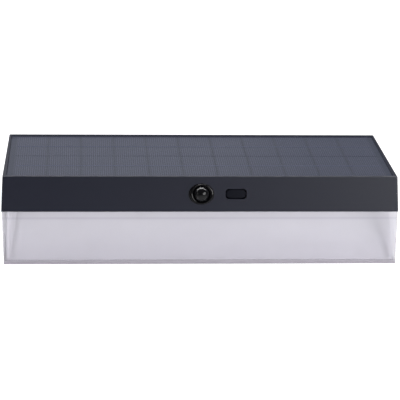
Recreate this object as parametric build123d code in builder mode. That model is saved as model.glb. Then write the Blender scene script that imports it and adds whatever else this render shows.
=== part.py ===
"""Solar fence light: a sloped solar panel on a dark hood, a clear wedge lens below its front band.

Frame: X along the light, to the right seen from the front; the wall is the plane y = 0 and the
front faces -Y; +Z is up. The origin lies on the rear face, midway between the keyholes.
"""

from build123d import *
from math import cos, radians, sin, sqrt, tan
import os

os.makedirs("parts", exist_ok=True)

# ---------------------------------------------------------------- driving dimensions, mm and degrees
WIDTH = 300.0            # across the hood's lower edge, the widest line of the light
DEPTH = 99.5             # from the wall to the front band
BAND_HEIGHT = 26.7       # the front band, from the lens to the panel's front edge
LENS_HEIGHT = 39.6       # the lens below the band
PANEL_SLOPE = 15.0       # the solar panel's fall towards the front
SIDE_DRAFT = 2.1         # the moulded sides lean in by this, above and below the hood's lower edge
WEDGE_SLOPE = 45.0       # the lens's rear edges, seen from the side
KEYHOLE_HEIGHT = 56.0    # keyhole entries above the underside
KEYHOLE_SPACING = 200.0

HOOD_WALL = 2.2
HOOD_EDGE_RADIUS = 0.8
HOOD_LOWER_RADIUS = 0.35
ROOT = 0.5               # bosses, webs and ribs start this far inside the wall that carries them
DECK_THICKNESS = 2.0     # the deck under the solar panel
PANEL_RECESS = 3.2       # depth of the panel's seat below the rim
PANEL_CORNER = 1.2
RIM = 1.8                # width of the rim round the panel
FIT = 0.2                # clearance between moulded parts that slide together
SEAT_GAP = 0.3           # clearance round pieces that only lie near each other

BODY_WALL = 2.6          # side, floor and slope walls of the rear body
BODY_CORNER_RADIUS = 1.0
BACK_PLATE = 3.0         # the wall that meets the fence
LIP_HEIGHT = 3.0         # the rear body's lip inside the hood's sides
LIP_WALL = 1.5
LIP_ROOT = 6.0           # the lip's depth inside the body's sides

LENS_STEP = 0.35         # the lens stands back from the hood's faces by this
LENS_FRONT_WALL = 2.2
LENS_SIDE_WALL = 2.1
LENS_FLOOR = 2.6
LENS_FOOT = 5.0          # depth of the lens at its lower edge
LENS_RIM_HEIGHT = 5.3    # the thick zone below the band
TONGUE_HEIGHT = 4.0      # the lens's tongue behind the band
TONGUE_WALL = 1.4

LENS_SEAL = 0.8          # rubber between the lens and the rear body
REAR_SEAL = 2.0          # rubber round the back plate
SEAL_WIDTH = 2.0
LEDGE = 2.0              # the hood's ledge that the rear seal meets

REFLECTOR_WALL = 1.5
REFLECTOR_STANDOFF = 2.0  # from the lens's rear edges up to the reflector's back
REFLECTOR_TAPER = 8.0     # the cheeks close in towards the back by this angle
REFLECTOR_ROOF_GAP = 1.0  # from the band's lower edge up to the roof
RIB_PITCH = 45.0          # the ribs behind the reflector
RIB_LENGTH, RIB_FOOT, RIB_WALL = 34.0, 8.0, 1.4

LED_PITCH = 11.0
LED_END_MARGIN = 8.0      # from the end of the row of windows to the reflector's cheek, at least
LED_LENGTH, LED_WIDTH, LED_HEIGHT = 3.5, 2.8, 0.8
LED_WINDOW_RADIUS = 3.1
LED_LINE = 20.0           # the row of LEDs behind the front face
BOARD = 1.6               # every circuit board's thickness
BOARD_CORNER = 1.5
LED_BOARD_DEPTH = 23.0
LED_BOARD_LEAD = 5.0      # board in front of the row of LEDs
LED_BOARD_MARGIN = 4.0    # board beyond the row of LEDs at each end
LAMP_SCREW_INSET = 11.0   # lamp screws from the board's ends
LAMP_SCREW_EDGE = 6.0     # and from its rear edge
LAMP_SCREW_LENGTH = 10.0
LED_PLUG_EDGE = 1.7       # the plug's distance from that edge

CELL_ROWS = 2
CELL_PITCH = 25.85        # strips cut six to a wafer, along the light
CELL_MARGIN = 2.4         # bare board in front of the cells and behind them
CELL_GAP = 0.6
CELL_THICKNESS = 0.25
PANEL_TAPE = 0.6
PANEL_TAPE_WIDTH = 8.0
PANEL_TAPE_INSET = 2.0    # from the board's edges
PANEL_BOARD = 1.2
RIBBON_THICKNESS = 0.1
RIBBON_WIDTH = 1.6
RIBBON_END = 2.0          # the ribbons stop short of the outer cells' edges
PANEL_COVER = 0.8

BEZEL_LENGTH, BEZEL_HEIGHT = 19.2, 15.8   # the oval ring round the sensor
BEZEL_FLANGE = 1.6
BEZEL_CHAMFER = 0.9
DOME_RADIUS = 5.95
DOME_WALL = 0.8
DOME_FLANGE_RADIUS = 6.5
DOME_FLANGE = 1.0
DOME_LEAD = 0.4           # the dome's seat lies in front of the band by this
BEZEL_TUBE_RADIUS = 7.2
BEZEL_TUBE_LENGTH = 6.0
BEZEL_NUT = 2.0
BEZEL_NUT_RADIUS = 9.2
RETAINER, RETAINER_WALL = 1.5, 1.2
SENSOR_CAN_RADIUS, SENSOR_CAN_HEIGHT, SENSOR_CAN_FOOT = 4.5, 4.2, 0.6
SENSOR_WINDOW_LENGTH, SENSOR_WINDOW_HEIGHT, SENSOR_WINDOW_DEPTH = 4.0, 3.0, 0.3

BUTTON_X = 26.2
SLOT_LENGTH, SLOT_HEIGHT, SLOT_CORNER = 15.9, 7.7, 2.6
BUTTON_GAP = 0.3          # round the rubber button in its slot
BUTTON_SET_BACK = 0.5
BUTTON_TRAVEL = 0.6
BUTTON_FLANGE = 0.9
BUTTON_EDGE_RADIUS = 0.6
GUIDE_WALL = 1.4          # the sleeve that guides the button behind the band
GUIDE_DEPTH = 4.2
STEM_RADIUS = 1.7
SWITCH_SIZE, SWITCH_HEIGHT, SWITCH_BORE = 6.0, 3.5, 2.0
PLUNGER_REACH = 1.0       # the plunger stands out of the switch by this
SENSOR_BOARD_Y = 10.5     # the sensor board's front, behind the front face
SENSOR_BOARD_HEIGHT = 16.0
SENSOR_BOARD_END = 20.0   # board beyond the sensor on one side and the button on the other
SENSOR_SCREW_INSET = 3.8

SCREW_RADIUS = 1.5
SCREW_HEAD_RADIUS, SCREW_HEAD_HEIGHT = 2.7, 1.8
SCREW_CROSS_LENGTH, SCREW_CROSS_WIDTH, SCREW_CROSS_DEPTH = 2.9, 0.7, 0.9
THREAD_GAP = 0.05         # between a screw's shank and its boss
HOLE_SPARE = 1.0          # a screw's hole goes on below its tip
BOSS_WEB, LAMP_BOSS_WEB = 3.0, 1.6
BOSS_RADIUS = 4.0
SMALL_BOSS_RADIUS = 2.8
CASE_SCREW_LENGTH = 12.0
BOARD_SCREW_LENGTH = 6.0
STRAP_SCREW_LENGTH = 7.0
CASE_SCREW_GAP = 5.0      # from a case screw's boss to the wall or the deck beside it
CASE_SCREW_LOW = 9.0      # the lower pair above the band's lower edge
CASE_SCREW_INNER = 47.0   # the two inner screws from the middle

KEYHOLE_ENTRY_RADIUS = 4.5
KEYHOLE_SLOT_WIDTH = 4.8
KEYHOLE_RISE = 9.0
POCKET_DEPTH = 6.5
POCKET_WALL = 1.5
POCKET_WIDTH, POCKET_HEIGHT, POCKET_CORNER = 12.0, 23.0, 2.0

CONTROL_BOARD_LENGTH, CONTROL_BOARD_HEIGHT = 80.0, 30.0
CONTROL_BOARD_X = 46.0
CONTROL_BOARD_Z = 1.0
CONTROL_BOSS = 6.0
CONTROL_SCREW_INSET = 4.0
CHIP_HEIGHT = 1.6
# each chip's place on the board, measured from its middle, and its length and width
CHIPS = ((-12.0, 5.0, 9.9, 6.0), (5.0, 7.0, 5.0, 4.0), (5.0, -2.0, 6.6, 6.0))
INDUCTOR_SIZE, INDUCTOR_HEIGHT, INDUCTOR_CORNER = 10.0, 5.0, 2.5
INDUCTOR_PLACE = (16.0, 3.5)
CAPACITOR_RADIUS, CAPACITOR_LENGTH = 3.15, 11.0
CAPACITOR_PLACES = ((-23.0, -4.0), (-14.0, -4.0))

BATTERY_RADIUS, BATTERY_LENGTH = 9.2, 65.0
BATTERY_CHAMFER = 0.7
BATTERY_X = -50.0
BATTERY_LIFT = 1.0        # the cells' lowest line above the floor
BATTERY_GAP = 0.8         # between the two cells
BATTERY_TAB = 0.3
BATTERY_TAB_OVERLAP, BATTERY_TAB_HEIGHT = 4.0, 7.0
BATTERY_GUARD = 1.0       # the paper board that covers the tabs
BATTERY_GUARD_EDGE, BATTERY_GUARD_HEIGHT = 7.4, 8.0
SADDLE = 2.4              # thickness of the two saddles under the cells
SADDLE_REACH = 22.0       # from the cells' middle
SADDLE_EDGE = 1.5
STRAP_WIDTH, STRAP_THICKNESS = 12.0, 1.2
STRAP_BOSS_RADIUS = 3.6
STRAP_BOSS_GAP = 1.4      # from a post to the cell beside it
STRAP_BOSS_BACK_GAP = 3.2  # from the rear post to the back plate
STRAP_BEND = 0.9

LEAD_RADIUS = 1.1
PLUG_LENGTH, PLUG_WIDTH, PLUG_HEIGHT = 7.5, 5.6, 6.0
PANEL_LEAD_X = 66.0       # the panel's leads pass the deck here
PANEL_LEAD_HOLE_RADIUS = 3.5
LED_PLUG_X = 70.0
SENSOR_PLUG_X = 25.0
# each socket's place on the control board, measured from its middle
SOCKET_PLACES = {"battery": (-30.0, 3.0), "sensor": (-6.0, -9.0), "led": (14.0, -9.0), "panel": (27.0, 9.0)}
# each cable's straight first and last runs, and the corners between them, measured from its plug
SENSOR_LEAD_RUNS, SENSOR_LEAD_CORNER = (14.0, 14.0), (7.0, 36.0, -3.0)
LED_LEAD_RUNS, LED_LEAD_CORNER, LED_LEAD_DROP = (8.0, 10.0), (-2.0, 13.0, 9.0), (1.0, 31.0, 1.0)
BATTERY_LEAD_RUNS, BATTERY_LEAD_CORNER = (10.0, 19.0), (21.0, 3.0, 5.0)
BATTERY_LEAD_Y = 2.0      # behind the rear cell's axis
PANEL_LEAD_RUNS, PANEL_LEAD_CORNER = (8.0, 11.0), (3.0, 9.0, -5.0)

# ---------------------------------------------------------------- worked out
FRONT = -DEPTH
Z_BOTTOM = -KEYHOLE_HEIGHT
Z_BAND = Z_BOTTOM + LENS_HEIGHT
Z_EDGE = Z_BAND + BAND_HEIGHT
Z_MID = Z_BAND + BAND_HEIGHT / 2
SLOPE = radians(PANEL_SLOPE)
WEDGE = radians(WEDGE_SLOPE)
LEAN = tan(radians(SIDE_DRAFT))
Z_TOP = Z_EDGE + DEPTH * tan(SLOPE)
SLANT = DEPTH / cos(SLOPE)


def hood_half(z):
    """The hood's outer half-width at a height: the sides lean in above the band's lower edge."""
    return WIDTH / 2 - (z - Z_BAND) * LEAN


def body_half(z):
    """The outer half-width of the lens and the rear body, whose sides lean in below the hood."""
    return WIDTH / 2 - LENS_STEP - (Z_BAND - z) * LEAN


def deck_under(y):
    """Height of the deck's underside at a distance y from the wall plane."""
    return Z_EDGE + (y - FRONT) * tan(SLOPE) - (PANEL_RECESS + DECK_THICKNESS) / cos(SLOPE)


def elevation(half, low, high, inset=0.0):
    """Corners of a front elevation between two heights, its sides following the draft."""
    return [
        (-half(low) + inset, low),
        (half(low) - inset, low),
        (half(high) - inset, high),
        (-half(high) + inset, high),
    ]


def upright(y):
    """An upright plane across the light at y; extruding by a negative amount goes to the wall."""
    return Plane.XZ.offset(-y)


# the plane of the rim, with its own Y up the slope, and the plane of the lens's rear edges
panel_plane = Plane(origin=(0, FRONT, Z_EDGE), x_dir=(1, 0, 0), z_dir=(0, -sin(SLOPE), cos(SLOPE)))
wedge_plane = Plane(
    origin=(0, FRONT + LENS_FOOT, Z_BOTTOM), x_dir=(1, 0, 0), z_dir=(0, -sin(WEDGE), cos(WEDGE))
)
deck_plane = panel_plane.offset(-PANEL_RECESS - DECK_THICKNESS)
seat_plane = panel_plane.offset(-PANEL_RECESS)
rear_slope = wedge_plane.offset(-LENS_SEAL)

RECESS_HALF = hood_half(Z_TOP) - RIM
RECESS_LENGTH = SLANT - 2 * RIM
ROOF_UNDER = Z_BAND + REFLECTOR_ROOF_GAP
ROOF_TOP = ROOF_UNDER + REFLECTOR_WALL
TONGUE_HALF = hood_half(Z_BAND + TONGUE_HEIGHT) - HOOD_WALL - FIT
TONGUE_FRONT = FRONT + HOOD_WALL + FIT
LENS_CLEAR_HALF = TONGUE_HALF - TONGUE_WALL     # the lens's clear half-width under the rim
LENS_CLEAR_FRONT = TONGUE_FRONT + TONGUE_WALL
REFLECTOR_HALF = LENS_CLEAR_HALF - SEAT_GAP
REFLECTOR_FRONT = LENS_CLEAR_FRONT + SEAT_GAP
REFLECTOR_BOTTOM = Z_BOTTOM + LENS_FLOOR + SEAT_GAP
REFLECTOR_DEPTH = LENS_HEIGHT + LENS_FOOT
LED_COUNT = int(2 * (REFLECTOR_HALF - REFLECTOR_WALL - LED_END_MARGIN) / LED_PITCH)
LED_BOARD_LENGTH = LED_COUNT * LED_PITCH + 2 * LED_BOARD_MARGIN
LED_BOARD_FRONT = FRONT + LED_LINE - LED_BOARD_LEAD
LED_BOARD_TOP = ROOF_TOP + BOARD
LAMP_SCREW_REACH = LED_BOARD_LENGTH / 2 - LAMP_SCREW_INSET
LAMP_SCREWS = [
    (x, LED_BOARD_FRONT + LED_BOARD_DEPTH - LAMP_SCREW_EDGE)
    for x in (-LAMP_SCREW_REACH, -LAMP_SCREW_REACH / 3, LAMP_SCREW_REACH / 3, LAMP_SCREW_REACH)
]
PLATE_FRONT = -BACK_PLATE
LEDGE_BACK = PLATE_FRONT - REAR_SEAL
LEDGE_FRONT = LEDGE_BACK - LEDGE
PLATE_TOP = deck_under(PLATE_FRONT) - FIT
SCREW_SEAT = -SCREW_HEAD_HEIGHT - FIT
CASE_HOLE_DEPTH = PLATE_FRONT - (SCREW_SEAT - CASE_SCREW_LENGTH) + HOLE_SPARE
CASE_BOSS_END = PLATE_FRONT - CASE_HOLE_DEPTH - 2 * HOLE_SPARE
CASE_SCREW_HIGH = deck_under(CASE_BOSS_END) - BOSS_RADIUS - CASE_SCREW_GAP / 2
CASE_SCREW_SIDE = hood_half(CASE_SCREW_HIGH) - HOOD_WALL - BOSS_RADIUS - CASE_SCREW_GAP
CASE_SCREWS = [
    (-CASE_SCREW_SIDE, Z_BAND + CASE_SCREW_LOW),
    (-CASE_SCREW_SIDE, CASE_SCREW_HIGH),
    (-CASE_SCREW_INNER, CASE_SCREW_HIGH),
    (CASE_SCREW_INNER, CASE_SCREW_HIGH),
    (CASE_SCREW_SIDE, CASE_SCREW_HIGH),
    (CASE_SCREW_SIDE, Z_BAND + CASE_SCREW_LOW),
]
KEYHOLES = [(-KEYHOLE_SPACING / 2, 0.0), (KEYHOLE_SPACING / 2, 0.0)]
POCKET_Z = (KEYHOLE_RISE + KEYHOLE_SLOT_WIDTH / 2 - KEYHOLE_ENTRY_RADIUS) / 2
DOME_SEAT = FRONT - DOME_LEAD
SENSOR_BOARD_FRONT = FRONT + SENSOR_BOARD_Y
SENSOR_BOARD_X = BUTTON_X / 2
SENSOR_BOARD_LENGTH = BUTTON_X + 2 * SENSOR_BOARD_END
SENSOR_SCREWS = [
    (SENSOR_BOARD_X - SENSOR_BOARD_LENGTH / 2 + SENSOR_SCREW_INSET, Z_MID),
    (SENSOR_BOARD_X + SENSOR_BOARD_LENGTH / 2 - SENSOR_SCREW_INSET, Z_MID),
]
SWITCH_FRONT = SENSOR_BOARD_FRONT - SWITCH_HEIGHT
PLUNGER_FRONT = SWITCH_FRONT - PLUNGER_REACH
CONTROL_FRONT = PLATE_FRONT - CONTROL_BOSS - BOARD
CONTROL_SCREWS = [
    (CONTROL_BOARD_X + sx, CONTROL_BOARD_Z + sz)
    for sx in (CONTROL_SCREW_INSET - CONTROL_BOARD_LENGTH / 2, CONTROL_BOARD_LENGTH / 2 - CONTROL_SCREW_INSET)
    for sz in (CONTROL_SCREW_INSET - CONTROL_BOARD_HEIGHT / 2, CONTROL_BOARD_HEIGHT / 2 - CONTROL_SCREW_INSET)
]
FLOOR_TOP = Z_BOTTOM + BODY_WALL
BATTERY_Z = FLOOR_TOP + BATTERY_LIFT + BATTERY_RADIUS
BATTERY_SPACING = 2 * BATTERY_RADIUS + BATTERY_GAP
STRAP_REACH = BATTERY_RADIUS + STRAP_BOSS_GAP + STRAP_BOSS_RADIUS
STRAP_BOSS_TOP = BATTERY_Z
STRAP_BOSS_BACK = PLATE_FRONT - STRAP_BOSS_BACK_GAP - STRAP_BOSS_RADIUS
BATTERY_YS = [STRAP_BOSS_BACK - STRAP_REACH, STRAP_BOSS_BACK - STRAP_REACH - BATTERY_SPACING]
BATTERY_MIDDLE = sum(BATTERY_YS) / 2
STRAP_BOSSES = [STRAP_BOSS_BACK, BATTERY_YS[1] - STRAP_REACH]

# ================================================================ outer shells

# ---- hood: front band, sides and sloped deck in one moulding, open at the back and below
with BuildPart() as hood_cavity:
    with BuildSketch(Plane.XZ):
        Polygon(*elevation(hood_half, Z_BAND - 1, Z_TOP, HOOD_WALL), align=None)
    extrude(amount=DEPTH - HOOD_WALL)
    split(bisect_by=deck_plane, keep=Keep.BOTTOM)

with BuildPart() as main_housing:
    with BuildSketch(Plane.XZ):
        Polygon(*elevation(hood_half, Z_BAND, Z_TOP + 1), align=None)
    extrude(amount=DEPTH)
    split(bisect_by=panel_plane, keep=Keep.BOTTOM)
    # every outer edge is rounded but those at the wall, the lower ones least
    upper_edges = [e for e in main_housing.edges() if e.center().Z > Z_BAND + 1 and e.center().Y < -1]
    fillet(upper_edges, radius=HOOD_EDGE_RADIUS)
    lower_edges = [e for e in main_housing.edges() if e.center().Z < Z_BAND + 0.01 and e.center().Y < -1]
    fillet(lower_edges, radius=HOOD_LOWER_RADIUS)
    add(hood_cavity.part, mode=Mode.SUBTRACT)
    # the panel's seat
    with BuildSketch(seat_plane):
        with Locations((0, SLANT / 2)):
            RectangleRounded(2 * RECESS_HALF, RECESS_LENGTH, PANEL_CORNER + SEAT_GAP)
    extrude(amount=PANEL_RECESS + 1, mode=Mode.SUBTRACT)
    # the ledge that the rear seal is pressed against
    with BuildSketch(upright(LEDGE_BACK)):
        ledge_top = deck_under(LEDGE_FRONT) + DECK_THICKNESS / 2
        Polygon(*elevation(hood_half, Z_BAND, ledge_top, HOOD_WALL - ROOT), align=None)
        ledge_inner = deck_under(LEDGE_FRONT) - SEAL_WIDTH
        Polygon(
            *elevation(hood_half, Z_BAND - 1, ledge_inner, HOOD_WALL + FIT + SEAL_WIDTH),
            align=None,
            mode=Mode.SUBTRACT,
        )
    extrude(amount=LEDGE)
    # bosses for the case screws, each tied to the wall or the deck beside it by a web
    for x, z in CASE_SCREWS:
        with BuildSketch(upright(PLATE_FRONT)):
            with Locations((x, z)):
                Circle(BOSS_RADIUS)
        extrude(amount=PLATE_FRONT - CASE_BOSS_END)
    with BuildSketch(upright(LEDGE_FRONT)):
        for x, z in CASE_SCREWS:
            at_side = abs(x) > WIDTH / 3
            side = 1 if x > 0 else -1
            if at_side:
                reach = hood_half(z) - HOOD_WALL + ROOT - abs(x)
                with Locations((x + side * reach / 2, z)):
                    Rectangle(reach, BOSS_WEB)
            else:
                reach = deck_under(CASE_BOSS_END) + 2 * ROOT - z
                with Locations((x, z + reach / 2)):
                    Rectangle(BOSS_WEB, reach)
    extrude(amount=LEDGE_FRONT - CASE_BOSS_END)
    # long bosses that hold the reflector and the LED board up under the deck
    for x, y in LAMP_SCREWS:
        with BuildSketch(Plane.XY.offset(LED_BOARD_TOP)):
            with Locations((x, y)):
                Circle(SMALL_BOSS_RADIUS)
                Rectangle(LAMP_BOSS_WEB, 4 * SMALL_BOSS_RADIUS)
        extrude(amount=deck_under(y) + ROOT - LED_BOARD_TOP)
    # bosses for the sensor board and the button's guide sleeve, behind the band
    with BuildSketch(upright(SENSOR_BOARD_FRONT)):
        with Locations(*SENSOR_SCREWS):
            Circle(SMALL_BOSS_RADIUS)
    extrude(amount=SENSOR_BOARD_Y - HOOD_WALL + ROOT)
    with BuildSketch(upright(FRONT + GUIDE_DEPTH)):
        with Locations((BUTTON_X, Z_MID)):
            RectangleRounded(
                SLOT_LENGTH + 2 * GUIDE_WALL, SLOT_HEIGHT + 2 * GUIDE_WALL, SLOT_CORNER + GUIDE_WALL
            )
    extrude(amount=GUIDE_DEPTH - HOOD_WALL + ROOT)
    # screw holes, the sensor's opening, the button's slot and the panel lead's hole
    with BuildSketch(upright(PLATE_FRONT)):
        with Locations(*CASE_SCREWS):
            Circle(SCREW_RADIUS + THREAD_GAP)
    extrude(amount=CASE_HOLE_DEPTH, mode=Mode.SUBTRACT)
    with BuildSketch(Plane.XY.offset(LED_BOARD_TOP)):
        with Locations(*LAMP_SCREWS):
            Circle(SCREW_RADIUS + THREAD_GAP)
    extrude(amount=LAMP_SCREW_LENGTH - REFLECTOR_WALL - BOARD + HOLE_SPARE, mode=Mode.SUBTRACT)
    with BuildSketch(upright(SENSOR_BOARD_FRONT)):
        with Locations(*SENSOR_SCREWS):
            Circle(SCREW_RADIUS + THREAD_GAP)
    extrude(amount=BOARD_SCREW_LENGTH - BOARD + HOLE_SPARE, mode=Mode.SUBTRACT)
    with BuildSketch(upright(FRONT)):
        with Locations((0, Z_MID)):
            Circle(BEZEL_TUBE_RADIUS + FIT)
        with Locations((BUTTON_X, Z_MID)):
            RectangleRounded(SLOT_LENGTH, SLOT_HEIGHT, SLOT_CORNER)
    extrude(amount=-GUIDE_DEPTH, mode=Mode.SUBTRACT)
    with BuildSketch(seat_plane):
        with Locations((PANEL_LEAD_X, SLANT / 2)):
            Circle(PANEL_LEAD_HOLE_RADIUS)
    extrude(amount=-DECK_THICKNESS - 1, mode=Mode.SUBTRACT)
main_housing.part.label = "main_housing"
export_step(main_housing.part, "parts/main_housing.step")

# ---- rear body: the back plate and the tub under the hood, sloped in front behind the lens
with BuildPart() as body_cavity:
    with BuildSketch(upright(PLATE_FRONT)):
        Polygon(*elevation(body_half, FLOOR_TOP, Z_BAND + 1, BODY_WALL), align=None)
    extrude(amount=DEPTH)
    split(bisect_by=rear_slope.offset(-BODY_WALL), keep=Keep.BOTTOM)

with BuildPart() as rear_housing:
    with BuildSketch(Plane.XZ):
        Polygon(*elevation(body_half, Z_BOTTOM, Z_BAND), align=None)
    extrude(amount=DEPTH)
    split(bisect_by=rear_slope, keep=Keep.BOTTOM)
    # the two upright edges at the wall
    wall_edges = [
        e for e in rear_housing.edges() if e.center().Y > -1 and Z_BOTTOM + 1 < e.center().Z < Z_BAND - 1
    ]
    fillet(wall_edges, radius=BODY_CORNER_RADIUS)
    add(body_cavity.part, mode=Mode.SUBTRACT)
    # the plate above the tub, inside the hood's open back
    with BuildSketch(Plane.XZ):
        Polygon(*elevation(hood_half, Z_BAND - ROOT, PLATE_TOP, HOOD_WALL + FIT), align=None)
    extrude(amount=BACK_PLATE)
    # lips inside the hood's sides
    lip_outer = hood_half(Z_BAND + LIP_HEIGHT) - HOOD_WALL - FIT
    lip_front = FRONT + LENS_FOOT + LENS_HEIGHT + LIP_ROOT
    lip_back = LEDGE_FRONT - 1
    with BuildSketch(Plane.XY.offset(Z_BAND - LIP_ROOT)):
        for side in (-1, 1):
            with Locations((side * (lip_outer - LIP_WALL / 2), (lip_front + lip_back) / 2)):
                Rectangle(LIP_WALL, lip_back - lip_front)
    extrude(amount=LIP_ROOT + LIP_HEIGHT)
    # closed pockets behind the keyholes
    with BuildSketch(upright(PLATE_FRONT)):
        with Locations(*[(x, POCKET_Z) for x, z in KEYHOLES]):
            RectangleRounded(
                POCKET_WIDTH + 2 * POCKET_WALL, POCKET_HEIGHT + 2 * POCKET_WALL, POCKET_CORNER + POCKET_WALL
            )
    extrude(amount=POCKET_DEPTH + POCKET_WALL)
    # bosses for the control board
    with BuildSketch(upright(PLATE_FRONT)):
        with Locations(*CONTROL_SCREWS):
            Circle(SMALL_BOSS_RADIUS)
    extrude(amount=CONTROL_BOSS)
    # saddles that cradle the two cells, and the strap's two posts
    saddle_height = BATTERY_Z - FLOOR_TOP - BATTERY_LIFT
    for x in (BATTERY_X - SADDLE_REACH, BATTERY_X + SADDLE_REACH):
        with BuildSketch(Plane.YZ.offset(x - SADDLE / 2)):
            with Locations((BATTERY_MIDDLE, FLOOR_TOP + (saddle_height - ROOT) / 2)):
                Rectangle(BATTERY_SPACING + 2 * (BATTERY_RADIUS + SADDLE_EDGE), saddle_height + ROOT)
            with Locations(*[(y, BATTERY_Z) for y in BATTERY_YS]):
                Circle(BATTERY_RADIUS + FIT, mode=Mode.SUBTRACT)
        extrude(amount=SADDLE)
    with BuildSketch(Plane.XY.offset(FLOOR_TOP - ROOT)):
        with Locations(*[(BATTERY_X, y) for y in STRAP_BOSSES]):
            Circle(STRAP_BOSS_RADIUS)
    extrude(amount=STRAP_BOSS_TOP - FLOOR_TOP + ROOT)
    # holes: keyholes and their pockets, case screws, control board and strap screws
    with BuildSketch(upright(PLATE_FRONT)):
        with Locations(*[(x, POCKET_Z) for x, z in KEYHOLES]):
            RectangleRounded(POCKET_WIDTH, POCKET_HEIGHT, POCKET_CORNER)
    extrude(amount=POCKET_DEPTH, mode=Mode.SUBTRACT)
    with BuildSketch(Plane.XZ):
        for x, z in KEYHOLES:
            with Locations((x, z)):
                Circle(KEYHOLE_ENTRY_RADIUS)
            with Locations((x, z + KEYHOLE_RISE / 2)):
                Rectangle(KEYHOLE_SLOT_WIDTH, KEYHOLE_RISE)
            with Locations((x, z + KEYHOLE_RISE)):
                Circle(KEYHOLE_SLOT_WIDTH / 2)
    extrude(amount=BACK_PLATE, mode=Mode.SUBTRACT)
    with BuildSketch(Plane.XZ):
        with Locations(*CASE_SCREWS):
            Circle(SCREW_RADIUS + FIT)
    extrude(amount=BACK_PLATE, mode=Mode.SUBTRACT)
    with BuildSketch(Plane.XZ):
        with Locations(*CASE_SCREWS):
            Circle(SCREW_HEAD_RADIUS + FIT)
    extrude(amount=-SCREW_SEAT, mode=Mode.SUBTRACT)
    with BuildSketch(upright(PLATE_FRONT - CONTROL_BOSS)):
        with Locations(*CONTROL_SCREWS):
            Circle(SCREW_RADIUS + THREAD_GAP)
    extrude(amount=-(BOARD_SCREW_LENGTH - BOARD + HOLE_SPARE), mode=Mode.SUBTRACT)
    with BuildSketch(Plane.XY.offset(STRAP_BOSS_TOP)):
        with Locations(*[(BATTERY_X, y) for y in STRAP_BOSSES]):
            Circle(SCREW_RADIUS + THREAD_GAP)
    extrude(amount=-(STRAP_SCREW_LENGTH - STRAP_THICKNESS + HOLE_SPARE), mode=Mode.SUBTRACT)
rear_housing.part.label = "rear_housing"
export_step(rear_housing.part, "parts/rear_housing.step")

# ================================================================ lamp below the band

# ---- lens: clear wedge with a front wall, two three-cornered sides, a foot and a tongue on top
with BuildPart() as lens_cavity:
    with BuildSketch(upright(FRONT + LENS_STEP + LENS_FRONT_WALL)):
        floor = Z_BOTTOM + LENS_FLOOR
        Polygon(*elevation(body_half, floor, Z_BAND + 1, LENS_SIDE_WALL), align=None)
    extrude(amount=-DEPTH)

with BuildPart() as lens:
    with BuildSketch(upright(FRONT + LENS_STEP)):
        Polygon(*elevation(body_half, Z_BOTTOM, Z_BAND), align=None)
    extrude(amount=-DEPTH)
    add(lens_cavity.part, mode=Mode.SUBTRACT)
    # the thick rim below the band, which narrows the opening, and the tongue that goes up inside
    lens_back = FRONT + LENS_FOOT + LENS_HEIGHT + 4
    for low, height, half, front in (
        (Z_BAND - LENS_RIM_HEIGHT, LENS_RIM_HEIGHT, TONGUE_HALF + 0.6, FRONT + LENS_STEP + 1),
        (Z_BAND, TONGUE_HEIGHT, TONGUE_HALF, TONGUE_FRONT),
    ):
        with BuildSketch(Plane.XY.offset(low)):
            with Locations((0, (front + lens_back) / 2)):
                Rectangle(2 * half, lens_back - front)
            with Locations((0, (LENS_CLEAR_FRONT + lens_back + 2) / 2)):
                Rectangle(2 * LENS_CLEAR_HALF, lens_back + 2 - LENS_CLEAR_FRONT, mode=Mode.SUBTRACT)
        extrude(amount=height)
    split(bisect_by=wedge_plane, keep=Keep.TOP)
lens.part.label = "lens"
export_step(lens.part, "parts/lens.step")

# ---- lens seal: a flat rubber frame between the lens's rear edges and the rear body
with BuildPart() as lens_gasket:
    with BuildSketch(upright(FRONT)):
        Polygon(*elevation(body_half, Z_BOTTOM + SEAT_GAP, Z_BAND, SEAT_GAP), align=None)
        seal_inset = LENS_SIDE_WALL - SEAT_GAP
        Polygon(
            *elevation(body_half, Z_BOTTOM + LENS_FLOOR, Z_BAND + 1, seal_inset),
            align=None,
            mode=Mode.SUBTRACT,
        )
    extrude(amount=-DEPTH)
    split(bisect_by=wedge_plane, keep=Keep.BOTTOM)
    split(bisect_by=rear_slope, keep=Keep.TOP)
lens_gasket.part.label = "lens_gasket"
export_step(lens_gasket.part, "parts/lens_gasket.step")

# ---- rear seal: a rubber frame pressed between the back plate and the hood's ledge
with BuildPart() as rear_gasket:
    with BuildSketch(upright(PLATE_FRONT)):
        seal_top = deck_under(LEDGE_BACK) - FIT
        Polygon(*elevation(hood_half, Z_BAND + LIP_HEIGHT + 1, seal_top, HOOD_WALL + FIT), align=None)
        Polygon(
            *elevation(hood_half, Z_BAND, seal_top - SEAL_WIDTH, HOOD_WALL + FIT + SEAL_WIDTH),
            align=None,
            mode=Mode.SUBTRACT,
        )
    extrude(amount=REAR_SEAL)
rear_gasket.part.label = "rear_gasket"
export_step(rear_gasket.part, "parts/rear_gasket.step")

# ---- reflector: white tray with a sloped back, tapering cheeks and a roof with LED windows
def led_places():
    """The middles of the LEDs, as many as the reflector's width takes."""
    return [((i + 0.5 - LED_COUNT / 2) * LED_PITCH, FRONT + LED_LINE) for i in range(LED_COUNT)]


def tray_plan(half, front):
    """Plan of the tray: the full width at the front, closing in towards the back."""
    back_half = half - REFLECTOR_DEPTH * tan(radians(REFLECTOR_TAPER))
    return [
        (-half, front),
        (half, front),
        (back_half, front + REFLECTOR_DEPTH),
        (-back_half, front + REFLECTOR_DEPTH),
    ]


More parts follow.
